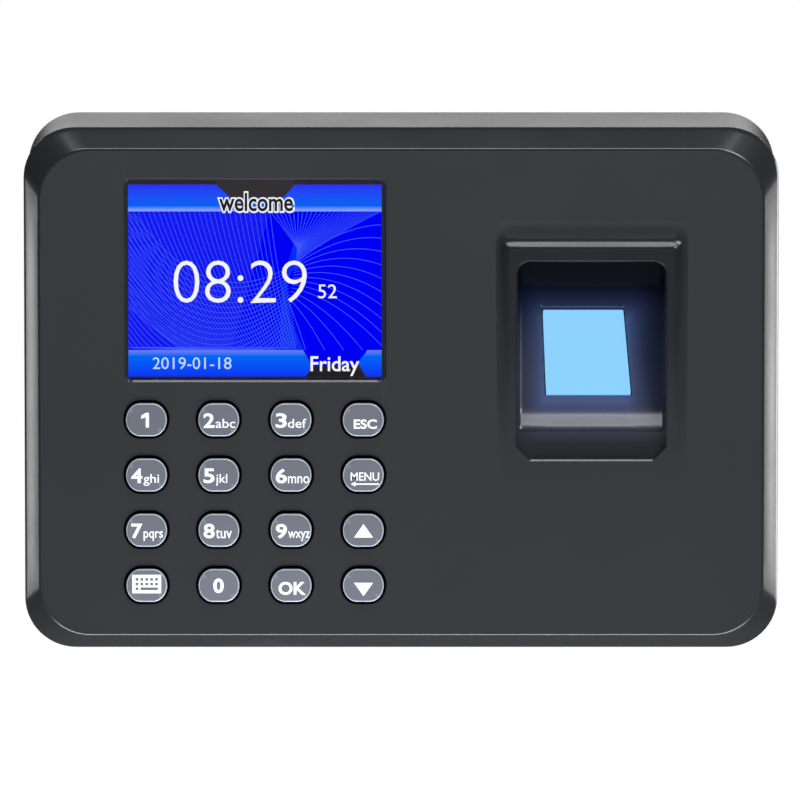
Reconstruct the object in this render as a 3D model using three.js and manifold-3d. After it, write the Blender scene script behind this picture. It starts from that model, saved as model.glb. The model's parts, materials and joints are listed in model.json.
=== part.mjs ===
// A wall-hung fingerprint scanner terminal: display, keypad and a hooded finger well.
// Millimetres. X is right, Z is up, and the front looks along -Y. The wall is the plane Y = 0,
// so a distance "off the wall" of d is Y = -d. The origin is the centre of the back face.

import * as THREE from 'three';
import { ConvexGeometry } from 'three/addons/geometries/ConvexGeometry.js';
import { mergeVertices } from 'three/addons/utils/BufferGeometryUtils.js';
import Module from 'manifold-3d';

// ---- The case ----
const WIDTH = 185;
const HEIGHT = 130;
const FRONT = 33; // front face, off the wall
const PARTING = 26.3; // where the front cover meets the rear shell, off the wall
const WALL = 2.5;
const CORNER = 12.5; // radius of the case's corners
const BEVEL = 4; // how far the front face sits in from the rim
const RIM_LAND = 0.6; // short straight edge before the bevel starts
const BEVEL_WALL = 1.5; // extra inset of the inside behind the bevel
const REAR_INSET = 0.8; // the rear shell is this much smaller all round
const REAR_ROUND = 2.2; // radius of the rear shell's back edge

// ---- The display ----
const WINDOW = { left: 25, width: 63.4, height: 49.9, centreZ: 28.05, radius: 1.2 };
const LENS = { thick: 1, lip: 1.5, gap: 0.2 };
const GASKET = { thick: 0.5, width: 1.4 };
const LCD = { glass: 2, frame: 2.4, margin: 2 };

// ---- The keypad ----
const KEY = { width: 10.5, height: 8.7, flat: 3, proud: 0.9, edge: 0.5, gap: 0.4 };
const KEY_FLANGE = { lip: 1, thick: 1, gap: 0.3 };
const KEY_TRAVEL = 1.2;
const KEY_GRID = { left: 30, topZ: -6.65, pitchX: 17.73, pitchZ: 13.83 };
const MAT = { margin: 1.3, pocket: 0.6, gap: 0.3 };
const KEY_NAMES = [
  ['key_1', 'key_2', 'key_3', 'key_esc'],
  ['key_4', 'key_5', 'key_6', 'key_menu'],
  ['key_7', 'key_8', 'key_9', 'key_up'],
  ['key_keyboard', 'key_0', 'key_ok', 'key_down'],
];

// ---- The finger well ----
const WELL = { right: 45.85, width: 36.3, topZ: 32.9, height: 49.55, radius: 3, wall: 1.6 };
const WELL_BACK = { deep: 19, ledgeZ: 22.6 }; // upright back wall, behind the front face
const SLOPE = { topZ: 21.8, topDeep: 17, bottomZ: -6, bottomDeep: 6, wall: 3 };
const STEP_BOTTOM_Z = -9.6; // where the rising step meets the lower flat
const HOOD = { margin: 4.25, rampZ: 42.7, browZ: 38.1, crestZ: 36.3, bottomZ: -24, rise: 1.8, foot: 0.25, radius: 4 };
const LUG = { reach: 5.5, thick: 2, height: 8, centreZ: 14, standoff: 4 };

// ---- The fingerprint sensor, square to the slope ----
const GLASS = { width: 20.2, height: 20.8, thick: 6, proud: 1, offsetX: -1.55, gap: 0.3, taper: 0.25, lean: 0.65 };
const SENSOR_BOX = { size: 26, wall: 1.6, deep: 8.5, gap: 0.3 };
const SENSOR_BOARD_THICK = 1.2;
const CAMERA = { radius: 4, tall: 2.2 };
const LED = { width: 2.4, height: 3.4, tall: 1.4, offset: 7.5 };
const CABLE = { radius: 1.1, room: 1.5, side: 3, down: 4, along: 10 };

// ---- The main board and what it carries ----
const BOARD = { left: 14.5, width: 97, ends: 8, thick: 1.6, radius: 2 };
const PROCESSOR = { size: 14, tall: 1.4, right: 35, z: 12 };
const MEMORY = { width: 9, height: 12, tall: 1.1, right: 35, z: -10 };
const CELL = { radius: 10, thick: 3.2, wall: 1.4, floor: 0.9, gap: 0.3, left: 28, z: 28 };
const USB = { width: 13.1, tall: 5.7, deep: 14, wall: 0.4, left: 58, tongue: 1.9 };
const JACK = { width: 9, tall: 10.8, deep: 13, bore: 3.2, pin: 1, boreDeep: 9.5, left: 33 };
const PORT_GAP = 0.3;
const RIBBON = { width: 18, thick: 0.3, tail: 9, gap: 0.4 };

// ---- The speaker ----
const SPEAKER = { radius: 14, tall: 6, wall: 1.2, floor: 1.6, x: 48, z: -42 };
const GRILLE = { slots: 5, width: 1.6, pitch: 3.6, length: 16 };

// ---- Hanging and fastening ----
const KEYHOLE = { x: 50, z: 26, entry: 4.75, slot: 2.5, rise: 10 };
const CASE_SCREW = { inset: 10, post: 4.4, boss: 3.8, head: 2.8, headTall: 2.2, shank: 1.4, length: 11 };
const POST_TOP = 16; // where the rear shell's posts meet the front cover's bosses, off the wall
const POST_SHELF = 4; // material under each case screw's head
const BOARD_SCREW = { inset: 3.5, down: 7, boss: 2.6, head: 2.3, headTall: 1.4, shank: 1.1, length: 5 };
const SCREW_GAP = 0.1; // round a shank in its hole
const HEAD_GAP = 0.4; // round a head in its counterbore
const PILOT_SPARE = 1; // a blind hole is this much deeper than its screw
const LABEL = { width: 60, height: 24, z: -38, thick: 0.3, recess: 0.5, gap: 0.3 };

const CORNER_STEPS = 5;
const ROUND_STEPS = 16;
const OVAL_STEPS = 20;
const CLEAR = 1; // how far a cutting tool runs past what it cuts

// ---- Levels off the wall that several pieces share ----
const INSIDE = FRONT - WALL; // inner side of the front cover's face
const LENS_FRONT = INSIDE + LENS.thick;
const GASKET_BACK = INSIDE - GASKET.thick;
const LCD_BACK = GASKET_BACK - LCD.glass;
const BOARD_FRONT = LCD_BACK - LCD.frame;
const BOARD_BACK = BOARD_FRONT - BOARD.thick;
const FLANGE_FRONT = INSIDE - KEY_FLANGE.gap;
const FLANGE_BACK = FLANGE_FRONT - KEY_FLANGE.thick;

// ---- Places on the face, measured in from the sides of the case ----
const WINDOW_X = -WIDTH / 2 + WINDOW.left + WINDOW.width / 2;
const WELL_X = WIDTH / 2 - WELL.right;
const WELL_Z = WELL.topZ - WELL.height / 2;
const BOARD_LEFT = -WIDTH / 2 + BOARD.left;
const BOARD_X = BOARD_LEFT + BOARD.width / 2;
const BOARD_HEIGHT = HEIGHT - 2 * BOARD.ends;
const REAR_BOTTOM = -HEIGHT / 2 + REAR_INSET;

const X_AXIS = new THREE.Vector3(1, 0, 0);
const Y_AXIS = new THREE.Vector3(0, 1, 0);
const Z_AXIS = new THREE.Vector3(0, 0, 1);

// ---- Solids from three.js, joined and cut by manifold ----
const wasm = await Module();
wasm.setup();

function toSolid(geometry) {
  const bare = geometry.clone();
  bare.deleteAttribute('normal');
  bare.deleteAttribute('uv');
  const merged = mergeVertices(bare);
  return new wasm.Manifold(new wasm.Mesh({
    numProp: 3,
    vertProperties: new Float32Array(merged.attributes.position.array),
    triVerts: new Uint32Array(merged.index.array),
  }));
}

function toGeometry(solid) {
  const mesh = solid.getMesh();
  const indexed = new THREE.BufferGeometry();
  indexed.setAttribute('position', new THREE.BufferAttribute(mesh.vertProperties, mesh.numProp));
  indexed.setIndex(new THREE.BufferAttribute(mesh.triVerts, 1));
  const faceted = indexed.toNonIndexed();
  faceted.computeVertexNormals();
  return faceted;
}

// The first geometry with others joined to it, and then more cut away.
function shaped(body, joined, cut) {
  let solid = toSolid(body);
  for (const extra of joined) {
    solid = solid.add(toSolid(extra));
  }
  for (const tool of cut) {
    solid = solid.subtract(toSolid(tool));
  }
  return toGeometry(solid);
}

// ---- Outlines, drawn as seen from the front ----

// A rectangle with round corners, anticlockwise.
function roundedRect(width, height, radius, x = 0, z = 0) {
  const points = [];
  for (let corner = 0; corner < 4; corner += 1) {
    const sideX = corner === 0 || corner === 3 ? 1 : -1;
    const sideZ = corner < 2 ? 1 : -1;
    for (let k = 0; k <= CORNER_STEPS; k += 1) {
      const angle = (corner + k / CORNER_STEPS) * Math.PI / 2;
      const px = x + sideX * (width / 2 - radius) + radius * Math.cos(angle);
      const pz = z + sideZ * (height / 2 - radius) + radius * Math.sin(angle);
      points.push(new THREE.Vector2(px, pz));
    }
  }
  return points;
}

// An oval with short flats at the top and bottom: the shape of a key, grown by a margin.
function keyOval(grow, x = 0, z = 0) {
  const points = [];
  const reach = (KEY.width - KEY.flat) / 2 + grow;
  for (let k = 0; k < OVAL_STEPS; k += 1) {
    const angle = 2 * Math.PI * (k + 0.5) / OVAL_STEPS;
    const px = x + Math.sign(Math.cos(angle)) * KEY.flat / 2 + reach * Math.cos(angle);
    const pz = z + (KEY.height / 2 + grow) * Math.sin(angle);
    points.push(new THREE.Vector2(px, pz));
  }
  return points;
}

// A keyhole: a round entry with a narrower slot rising from it.
function keyholeOutline(x, z) {
  const points = [];
  const start = Math.acos(KEYHOLE.slot / KEYHOLE.entry);
  const sweep = 2 * Math.PI - 2 * (Math.PI / 2 - start);
  for (let k = 0; k <= ROUND_STEPS; k += 1) {
    const angle = Math.PI - start + sweep * k / ROUND_STEPS;
    points.push(new THREE.Vector2(x + KEYHOLE.entry * Math.cos(angle), z + KEYHOLE.entry * Math.sin(angle)));
  }
  for (let k = 0; k <= ROUND_STEPS / 2; k += 1) {
    const angle = Math.PI * 2 * k / ROUND_STEPS;
    const top = z + KEYHOLE.rise + KEYHOLE.slot * Math.sin(angle);
    points.push(new THREE.Vector2(x + KEYHOLE.slot * Math.cos(angle), top));
  }
  return points;
}

// ---- Basic bodies ----

// An outline given thickness, from near to far off the wall.
function plate(outline, near, far, holes = []) {
  const shape = new THREE.Shape(outline);
  shape.holes = holes.map((hole) => new THREE.Path(hole));
  const body = new THREE.ExtrudeGeometry(shape, { depth: far - near, bevelEnabled: false });
  body.translate(0, 0, near);
  return body.rotateX(Math.PI / 2);
}

// A rod that stands off the wall.
function peg(x, z, radius, near, far) {
  const body = new THREE.CylinderGeometry(radius, radius, far - near, ROUND_STEPS);
  return body.translate(x, -(near + far) / 2, z);
}

// A block by its centre as seen from the front, from near to far off the wall.
function block(x, z, width, height, near, far) {
  const body = new THREE.BoxGeometry(width, far - near, height);
  return body.translate(x, -(near + far) / 2, z);
}

// A side profile, as pairs of height and distance off the wall, carried across from left to right.
function across(profile, left, right) {
  const shape = new THREE.Shape(profile.map(([z, off]) => new THREE.Vector2(-off, z)));
  const body = new THREE.ExtrudeGeometry(shape, { depth: right - left, bevelEnabled: false });
  body.translate(0, 0, left);
  return body.applyMatrix4(new THREE.Matrix4().makeBasis(Y_AXIS, Z_AXIS, X_AXIS));
}

// The smooth skin round several outlines, each at its own distance off the wall.
function hull(levels) {
  const points = [];
  for (const { outline, off } of levels) {
    for (const point of outline) {
      points.push(new THREE.Vector3(point.x, -off, point.y));
    }
  }
  return new ConvexGeometry(points);
}

// The case's outline, drawn in from the rim by an inset, at a distance off the wall.
function caseLevel(inset, off, radius = CORNER - inset) {
  return { outline: roundedRect(WIDTH - 2 * inset, HEIGHT - 2 * inset, radius), off };
}

function mesh(name, geometry, color, roughness, metalness = 0, more = {}) {
  const material = new THREE.MeshStandardMaterial({ color, roughness, metalness, ...more });
  const piece = new THREE.Mesh(geometry, material);
  piece.name = name;
  return piece;
}

// ---- Places of repeated things ----

function corners(x, z) {
  return [[-x, z], [x, z], [-x, -z], [x, -z]];
}

const CASE_SCREWS = corners(WIDTH / 2 - CASE_SCREW.inset, HEIGHT / 2 - CASE_SCREW.inset);
const BOARD_SCREWS = corners(BOARD.width / 2 - BOARD_SCREW.inset, BOARD_HEIGHT / 2 - BOARD_SCREW.down)
  .map(([x, z]) => [BOARD_X + x, z]);
const WELL_SCREWS = [-1, 1].map((side) => {
  const x = WELL_X + side * (WELL.width / 2 + WELL.wall + LUG.reach / 2);
  return [x, LUG.centreZ];
});

function keyPlaces() {
  const places = [];
  KEY_NAMES.forEach((row, rowIndex) => {
    row.forEach((name, column) => {
      const x = -WIDTH / 2 + KEY_GRID.left + column * KEY_GRID.pitchX;
      const z = KEY_GRID.topZ - rowIndex * KEY_GRID.pitchZ;
      places.push({ name, x, z });
    });
  });
  return places;
}

// ---- Front cover ----

function wellOutline(grow) {
  return roundedRect(WELL.width + 2 * grow, WELL.height + 2 * grow, WELL.radius + grow, WELL_X, WELL_Z);
}

// The raised hood: steepest at its brow, flush with the face below the well.
function hood() {
  const sunk = FRONT - WALL / 2;
  const profile = [
    [HOOD.bottomZ, sunk],
    [HOOD.bottomZ, FRONT],
    [HOOD.crestZ, FRONT + HOOD.rise],
    [HOOD.browZ, FRONT + HOOD.foot],
    [HOOD.rampZ, FRONT],
    [HOOD.rampZ, sunk],
  ];
  const half = WELL.width / 2 + HOOD.margin;
  const wedge = across(profile, WELL_X - half, WELL_X + half);
  const height = HOOD.rampZ - HOOD.bottomZ;
  const outline = roundedRect(2 * half, height, HOOD.radius, WELL_X, HOOD.rampZ - height / 2);
  const limits = plate(outline, sunk - CLEAR, FRONT + HOOD.rise + CLEAR);
  return toGeometry(toSolid(wedge).intersect(toSolid(limits)));
}

function frontCover() {
  const outside = hull([
    caseLevel(0, PARTING),
    caseLevel(0, PARTING + RIM_LAND),
    caseLevel(BEVEL, FRONT, CORNER),
  ]);
  const inside = hull([
    caseLevel(WALL, PARTING - CLEAR),
    caseLevel(WALL, PARTING),
    caseLevel(BEVEL + BEVEL_WALL, INSIDE, CORNER - WALL),
  ]);
  const shell = shaped(outside, [hood()], [inside]);

  const windowCut = roundedRect(WINDOW.width, WINDOW.height, WINDOW.radius, WINDOW_X, WINDOW.centreZ);
  const through = [INSIDE - CLEAR, FRONT + HOOD.rise + CLEAR];
  const cuts = [
    plate(windowCut, ...through),
    plate(lensOutline(LENS.gap), INSIDE - CLEAR, LENS_FRONT),
    plate(wellOutline(0), ...through),
  ];
  for (const { x, z } of keyPlaces()) {
    cuts.push(plate(keyOval(KEY.gap, x, z), ...through));
  }

  const bosses = [];
  const sunk = INSIDE + WALL / 2;
  for (const [x, z] of CASE_SCREWS) {
    bosses.push(peg(x, z, CASE_SCREW.boss, POST_TOP, sunk));
    const end = POST_TOP - POST_SHELF + CASE_SCREW.length + PILOT_SPARE;
    cuts.push(peg(x, z, CASE_SCREW.shank + SCREW_GAP, POST_TOP - CLEAR, end));
  }
  for (const [x, z] of BOARD_SCREWS) {
    bosses.push(peg(x, z, BOARD_SCREW.boss, BOARD_FRONT, sunk));
    cuts.push(peg(x, z, BOARD_SCREW.shank + SCREW_GAP, BOARD_FRONT - CLEAR, INSIDE));
  }
  for (const [x, z] of WELL_SCREWS) {
    bosses.push(peg(x, z, BOARD_SCREW.boss, lugFront(), sunk));
    cuts.push(peg(x, z, BOARD_SCREW.shank + SCREW_GAP, lugFront() - CLEAR, INSIDE));
  }
  return shaped(shell, bosses, cuts);
}

// ---- Rear shell ----

function rearLevel(inset, off) {
  return caseLevel(REAR_INSET + inset, off);
}

// The outside of the shell, with a rounded back edge worked out in steps.
function rearOutside() {
  const levels = [rearLevel(0, PARTING)];
  const steps = 3;
  for (let k = 0; k <= steps; k += 1) {
    const angle = Math.PI / 2 * k / steps;
    levels.push(rearLevel(REAR_ROUND * (1 - Math.sin(angle)), REAR_ROUND * (1 - Math.cos(angle))));
  }
  return hull(levels);
}

function rearShell() {
  const inside = hull([rearLevel(WALL, WALL), rearLevel(WALL, PARTING + CLEAR)]);
  const tray = shaped(rearOutside(), [], [inside]);
  const posts = [];
  const cuts = [];
  for (const [x, z] of CASE_SCREWS) {
    posts.push(peg(x, z, CASE_SCREW.post, WALL / 2, POST_TOP));
    cuts.push(peg(x, z, CASE_SCREW.head + HEAD_GAP, -CLEAR, POST_TOP - POST_SHELF));
    cuts.push(peg(x, z, CASE_SCREW.shank + SCREW_GAP, -CLEAR, POST_TOP + CLEAR));
  }
  for (const side of [-1, 1]) {
    cuts.push(plate(keyholeOutline(side * KEYHOLE.x, KEYHOLE.z), -CLEAR, WALL + CLEAR));
  }
  for (let k = 0; k < GRILLE.slots; k += 1) {
    const z = SPEAKER.z + (k - (GRILLE.slots - 1) / 2) * GRILLE.pitch;
    const slot = roundedRect(GRILLE.length, GRILLE.width, GRILLE.width / 2 - 0.01, SPEAKER.x, z);
    cuts.push(plate(slot, -CLEAR, WALL + CLEAR));
  }
  cuts.push(block(0, LABEL.z, LABEL.width + 2 * LABEL.gap, LABEL.height + 2 * LABEL.gap, -CLEAR, LABEL.recess));
  cuts.push(portCut(usbX(), USB.width, USB.tall));
  cuts.push(portCut(jackX(), JACK.width, JACK.tall));
  return shaped(tray, posts, cuts);
}

// The hole in the bottom wall for a socket that hangs from the board's back.
function portCut(x, width, tall) {
  const low = BOARD_BACK - tall - PORT_GAP;
  const high = BOARD_BACK + PORT_GAP;
  return block(x, REAR_BOTTOM + WALL / 2, width + 2 * PORT_GAP, WALL + 2 * CLEAR, low, high);
}

function ratingLabel() {
  return block(0, LABEL.z, LABEL.width, LABEL.height, LABEL.recess - LABEL.thick, LABEL.recess);
}

// ---- Display ----

function lensOutline(grow) {
  const margin = 2 * (LENS.lip + grow);
  return roundedRect(
    WINDOW.width + margin, WINDOW.height + margin, WINDOW.radius + LENS.lip, WINDOW_X, WINDOW.centreZ);
}

function displayLens() {
  return plate(lensOutline(0), INSIDE, LENS_FRONT);
}

function lcdGasket() {
  const inner = roundedRect(WINDOW.width, WINDOW.height, WINDOW.radius, WINDOW_X, WINDOW.centreZ);
  const size = 2 * GASKET.width;
  const outer = roundedRect(
    WINDOW.width + size, WINDOW.height + size, WINDOW.radius + GASKET.width, WINDOW_X, WINDOW.centreZ);
  return plate(outer, GASKET_BACK, INSIDE, [inner]);
}

function lcdBlock(near, far, margin) {
  const width = WINDOW.width + 2 * margin;
  const height = WINDOW.height + 2 * margin;
  return block(WINDOW_X, WINDOW.centreZ, width, height, near, far);
}

// Folds over the board's top edge, from the display's top side to the board's back.
function lcdRibbon() {
  const start = WINDOW.centreZ + WINDOW.height / 2 + LCD.margin + RIBBON.gap;
  const top = BOARD_HEIGHT / 2 + RIBBON.gap;
  const ahead = BOARD_FRONT + RIBBON.gap;
  const behind = BOARD_BACK - RIBBON.gap;
  const profile = [
    [start, ahead],
    [top, ahead],
    [top, behind],
    [top - RIBBON.tail, behind],
    [top - RIBBON.tail, behind - RIBBON.thick],
    [top + RIBBON.thick, behind - RIBBON.thick],
    [top + RIBBON.thick, ahead + RIBBON.thick],
    [start, ahead + RIBBON.thick],
  ];
  return across(profile.reverse(), WINDOW_X - RIBBON.width / 2, WINDOW_X + RIBBON.width / 2);
}

// ---- Keypad ----

// One key about its own centre: a cap with a softened edge on a wider flange.
function keyCap() {
  const cap = hull([
    { outline: keyOval(0), off: FLANGE_BACK + KEY_FLANGE.thick / 2 },
    { outline: keyOval(0), off: FRONT + KEY.proud - KEY.edge },
    { outline: keyOval(-KEY.edge), off: FRONT + KEY.proud },
  ]);
  const flange = plate(keyOval(KEY_FLANGE.lip), FLANGE_BACK, FLANGE_FRONT);
  return shaped(cap, [flange], []);
}

// The rubber mat, drawn with its domes pressed flat, so that every key keeps its travel.
function keypadMat() {
  const top = FLANGE_BACK - KEY_TRAVEL - MAT.gap;
  const spanX = 3 * KEY_GRID.pitchX;
  const spanZ = 3 * KEY_GRID.pitchZ;
  const x = -WIDTH / 2 + KEY_GRID.left + spanX / 2;
  const z = KEY_GRID.topZ - spanZ / 2;
  const width = spanX + KEY.width + 2 * (KEY_FLANGE.lip + MAT.margin);
  const height = spanZ + KEY.height + 2 * (KEY_FLANGE.lip + MAT.margin);
  const sheet = block(x, z, width, height, BOARD_FRONT, top);
  const pockets = keyPlaces().map((key) => block(key.x, key.z, KEY.flat, KEY.flat, top - MAT.pocket, top + CLEAR));
  return shaped(sheet, [], pockets);
}

// ---- Main board ----

function mainBoard() {
  const outline = roundedRect(BOARD.width, BOARD_HEIGHT, BOARD.radius, BOARD_X, 0);
  const holes = BOARD_SCREWS.map(([x, z]) => peg(
    x, z, BOARD_SCREW.shank + SCREW_GAP, BOARD_BACK - CLEAR, BOARD_FRONT + CLEAR));
  return shaped(plate(outline, BOARD_BACK, BOARD_FRONT), [], holes);
}

function boardEdge() {
  return BOARD_LEFT + BOARD.width;
}

function processorChip() {
  const x = boardEdge() - PROCESSOR.right;
  return block(x, PROCESSOR.z, PROCESSOR.size, PROCESSOR.size, BOARD_BACK - PROCESSOR.tall, BOARD_BACK);
}

function memoryChip() {
  const x = boardEdge() - MEMORY.right;
  return block(x, MEMORY.z, MEMORY.width, MEMORY.height, BOARD_BACK - MEMORY.tall, BOARD_BACK);
}

function cellHolder() {
  const x = BOARD_LEFT + CELL.left;
  const outer = CELL.radius + CELL.gap + CELL.wall;
  const low = BOARD_BACK - CELL.floor - CELL.thick;
  const cup = peg(x, CELL.z, outer, low, BOARD_BACK);
  const pocket = peg(x, CELL.z, CELL.radius + CELL.gap, low - CLEAR, BOARD_BACK - CELL.floor);
  return shaped(cup, [], [pocket]);
}

function coinCell() {
  const back = BOARD_BACK - CELL.floor;
  return peg(BOARD_LEFT + CELL.left, CELL.z, CELL.radius, back - CELL.thick, back);
}

function usbX() {
  return BOARD_LEFT + USB.left;
}

function jackX() {
  return BOARD_LEFT + JACK.left;
}

// The socket's folded steel shell, open at its mouth on the bottom side.
function usbShell() {
  const z = REAR_BOTTOM + USB.deep / 2;
  const low = BOARD_BACK - USB.tall;
  const body = block(usbX(), z, USB.width, USB.deep, low, BOARD_BACK);
  const mouth = block(
    usbX(), z - USB.wall, USB.width - 2 * USB.wall, USB.deep, low + USB.wall, BOARD_BACK - USB.wall);
  return shaped(body, [], [mouth]);
}

function usbTongue() {
  const high = BOARD_BACK - USB.wall;
  const end = REAR_BOTTOM + USB.deep - USB.wall;
  const deep = USB.deep - USB.wall - 2;
  return block(usbX(), end - deep / 2, USB.width - 4 * USB.wall, deep, high - USB.tongue, high);
}

// A rod that runs up from the bottom side.
function upright(x, off, radius, low, high) {
  const body = new THREE.CylinderGeometry(radius, radius, high - low, ROUND_STEPS);
  body.rotateX(Math.PI / 2);
  return body.translate(x, -off, (low + high) / 2);
}

function dcJack() {
  const off = BOARD_BACK - JACK.tall / 2;
  const body = block(jackX(), REAR_BOTTOM + JACK.deep / 2, JACK.width, JACK.deep, off - JACK.tall / 2, BOARD_BACK);
  const bore = upright(jackX(), off, JACK.bore, REAR_BOTTOM - CLEAR, REAR_BOTTOM + JACK.boreDeep);
  return shaped(body, [], [bore]);
}

function dcPin() {
  const off = BOARD_BACK - JACK.tall / 2;
  return upright(jackX(), off, JACK.pin, REAR_BOTTOM + 1.5, REAR_BOTTOM + JACK.boreDeep);
}

// ---- Speaker ----

function speakerFrame() {
  const high = WALL + SPEAKER.tall;
  const cup = peg(SPEAKER.x, SPEAKER.z, SPEAKER.radius, WALL, high);
  const hollow = peg(SPEAKER.x, SPEAKER.z, SPEAKER.radius - SPEAKER.wall, WALL - CLEAR, high - SPEAKER.floor);
  return shaped(cup, [], [hollow]);
}

// A cone of even thickness, with its wide end towards the sound slots.
function speakerCone() {
  const wide = SPEAKER.radius - SPEAKER.wall - 0.3;
  const narrow = wide / 3;
  const drop = SPEAKER.tall - SPEAKER.floor - 1;
  const profile = [[0, drop], [narrow, drop], [wide, 0.5], [wide, 1], [narrow, drop + 0.5], [0, drop + 0.5]];
  const points = profile.map(([r, h]) => new THREE.Vector2(r, h));
  const body = new THREE.LatheGeometry(points, ROUND_STEPS);
  body.rotateX(Math.PI);
  return body.translate(SPEAKER.x, -WALL, SPEAKER.z);
}

// ---- Finger well ----

function lugFront() {
  return INSIDE - LUG.standoff;
}

// What the finger goes into: back wall, ledge, slope, step and lower flat.
function wellHollow() {
  const profile = [
    [WELL.topZ, FRONT],
    [WELL.topZ, FRONT - WELL_BACK.deep],
    [WELL_BACK.ledgeZ, FRONT - WELL_BACK.deep],
    [SLOPE.topZ, FRONT - SLOPE.topDeep],
    [SLOPE.bottomZ, FRONT - SLOPE.bottomDeep],
    [STEP_BOTTOM_Z, INSIDE],
    [STEP_BOTTOM_Z, FRONT],
  ];
  return across(profile, WELL_X - WELL.width / 2, WELL_X + WELL.width / 2);
}

// The moulded liner behind the opening, one wall thicker than its hollow, with two screw lugs.
function fingerWell() {
  const bottom = WELL.topZ - WELL.height - WELL.wall;
  const backDeep = WELL_BACK.deep + WELL.wall;
  const slopeDeep = SLOPE.wall / Math.cos(slopeTilt);
  const backEndZ = SLOPE.topZ + (backDeep - SLOPE.topDeep - slopeDeep) / Math.tan(slopeTilt);
  const profile = [
    [WELL.topZ + WELL.wall, INSIDE],
    [WELL.topZ + WELL.wall, FRONT - backDeep],
    [backEndZ, FRONT - backDeep],
    [SLOPE.bottomZ, FRONT - SLOPE.bottomDeep - slopeDeep],
    [bottom, INSIDE - WELL.wall],
    [bottom, INSIDE],
  ];
  const half = WELL.width / 2 + WELL.wall;
  const body = across(profile, WELL_X - half, WELL_X + half);
  const lugs = WELL_SCREWS.map(([x]) => block(
    x, LUG.centreZ, LUG.reach + WELL.wall, LUG.height, lugFront() - LUG.thick, lugFront()));
  const holes = WELL_SCREWS.map(([x, z]) => peg(
    x, z, BOARD_SCREW.shank + SCREW_GAP, lugFront() - LUG.thick - CLEAR, lugFront() + CLEAR));
  const window = glassBlock(GLASS.gap, -SENSOR_BOX.deep, CLEAR);
  window.applyMatrix4(sensor.matrix);
  return shaped(body, lugs, [wellHollow(), window, ...holes]);
}

// ---- Sensor, in a frame of its own: X right, Y up the slope, Z out of the slope ----

const slopeTilt = Math.atan2(SLOPE.topDeep - SLOPE.bottomDeep, SLOPE.topZ - SLOPE.bottomZ);
const sensor = new THREE.Group();
sensor.position.set(
  WELL_X + GLASS.offsetX,
  -(FRONT - (SLOPE.topDeep + SLOPE.bottomDeep) / 2),
  (SLOPE.topZ + SLOPE.bottomZ) / 2,
);
sensor.rotation.x = Math.PI / 2 - slopeTilt;
sensor.updateMatrix();

// The glass is a little wider at its lower end, which also stands a little further to the right.
function glassBlock(grow, low, high) {
  const top = GLASS.width / 2 - GLASS.taper + grow;
  const bottom = GLASS.width / 2 + GLASS.taper + grow;
  const half = GLASS.height / 2 + grow;
  const shape = new THREE.Shape([
    new THREE.Vector2(GLASS.lean - bottom, -half),
    new THREE.Vector2(GLASS.lean + bottom, -half),
    new THREE.Vector2(top - GLASS.lean, half),
    new THREE.Vector2(-top - GLASS.lean, half),
  ]);
  const body = new THREE.ExtrudeGeometry(shape, { depth: high - low, bevelEnabled: false });
  return body.translate(0, 0, low);
}

function sensorGlass() {
  return glassBlock(0, GLASS.proud - GLASS.thick, GLASS.proud);
}

function squareTube(size, wall, low, high) {
  const outer = new THREE.BoxGeometry(size, size, high - low);
  outer.translate(0, 0, (low + high) / 2);
  const inner = new THREE.BoxGeometry(size - 2 * wall, size - 2 * wall, high - low + 2 * CLEAR);
  inner.translate(0, 0, (low + high) / 2);
  return shaped(outer, [], [inner]);
}

const SENSOR_BOX_TOP = -SLOPE.wall - SENSOR_BOX.gap;
const SENSOR_BOX_LOW = SENSOR_BOX_TOP - SENSOR_BOX.deep;
const SENSOR_BOARD_TOP = SENSOR_BOX_LOW - SENSOR_BOX.gap;

function sensorBox() {
  return squareTube(SENSOR_BOX.size, SENSOR_BOX.wall, SENSOR_BOX_LOW, SENSOR_BOX_TOP);
}

function sensorBoard() {
  const body = new THREE.BoxGeometry(SENSOR_BOX.size, SENSOR_BOX.size, SENSOR_BOARD_THICK);
  return body.translate(0, 0, SENSOR_BOARD_TOP - SENSOR_BOARD_THICK / 2);
}

function sensorCamera() {
  const body = new THREE.CylinderGeometry(CAMERA.radius, CAMERA.radius, CAMERA.tall, ROUND_STEPS);
  body.rotateX(Math.PI / 2);
  return body.translate(0, 0, SENSOR_BOARD_TOP + CAMERA.tall / 2);
}

function sensorLed(side) {
  const body = new THREE.BoxGeometry(LED.width, LED.height, LED.tall);
  return body.translate(side * LED.offset, 0, SENSOR_BOARD_TOP + LED.tall / 2);
}

// From the sensor board's back to the main board's back, with an easy bend between them.
function sensorCable() {
  const back = SENSOR_BOARD_TOP - SENSOR_BOARD_THICK - CABLE.radius - SENSOR_BOX.gap;
  const side = -SENSOR_BOX.size / 2 - CABLE.side;
  const start = new THREE.Vector3(0, -CABLE.down, back).applyMatrix4(sensor.matrix);
  const leave = new THREE.Vector3(side, -CABLE.down, back).applyMatrix4(sensor.matrix);
  const level = -(BOARD_BACK - CABLE.radius - CABLE.room);
  const arrive = new THREE.Vector3(boardEdge(), level, leave.z);
  const end = new THREE.Vector3(boardEdge() - CABLE.along, level, leave.z);
  const path = new THREE.CatmullRomCurve3([start, leave, arrive, end], false, 'centripetal');
  const section = new THREE.Shape();
  for (let k = 0; k < 8; k += 1) {
    const angle = Math.PI / 4 * k;
    const point = [CABLE.radius * Math.cos(angle), CABLE.radius * Math.sin(angle)];
    if (k === 0) {
      section.moveTo(...point);
    } else {
      section.lineTo(...point);
    }
  }
  section.closePath();
  return new THREE.ExtrudeGeometry(section, { steps: 16, bevelEnabled: false, extrudePath: path });
}

// ---- Screws, each with its head's inner side at the seat and its point towards the front ----

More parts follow.
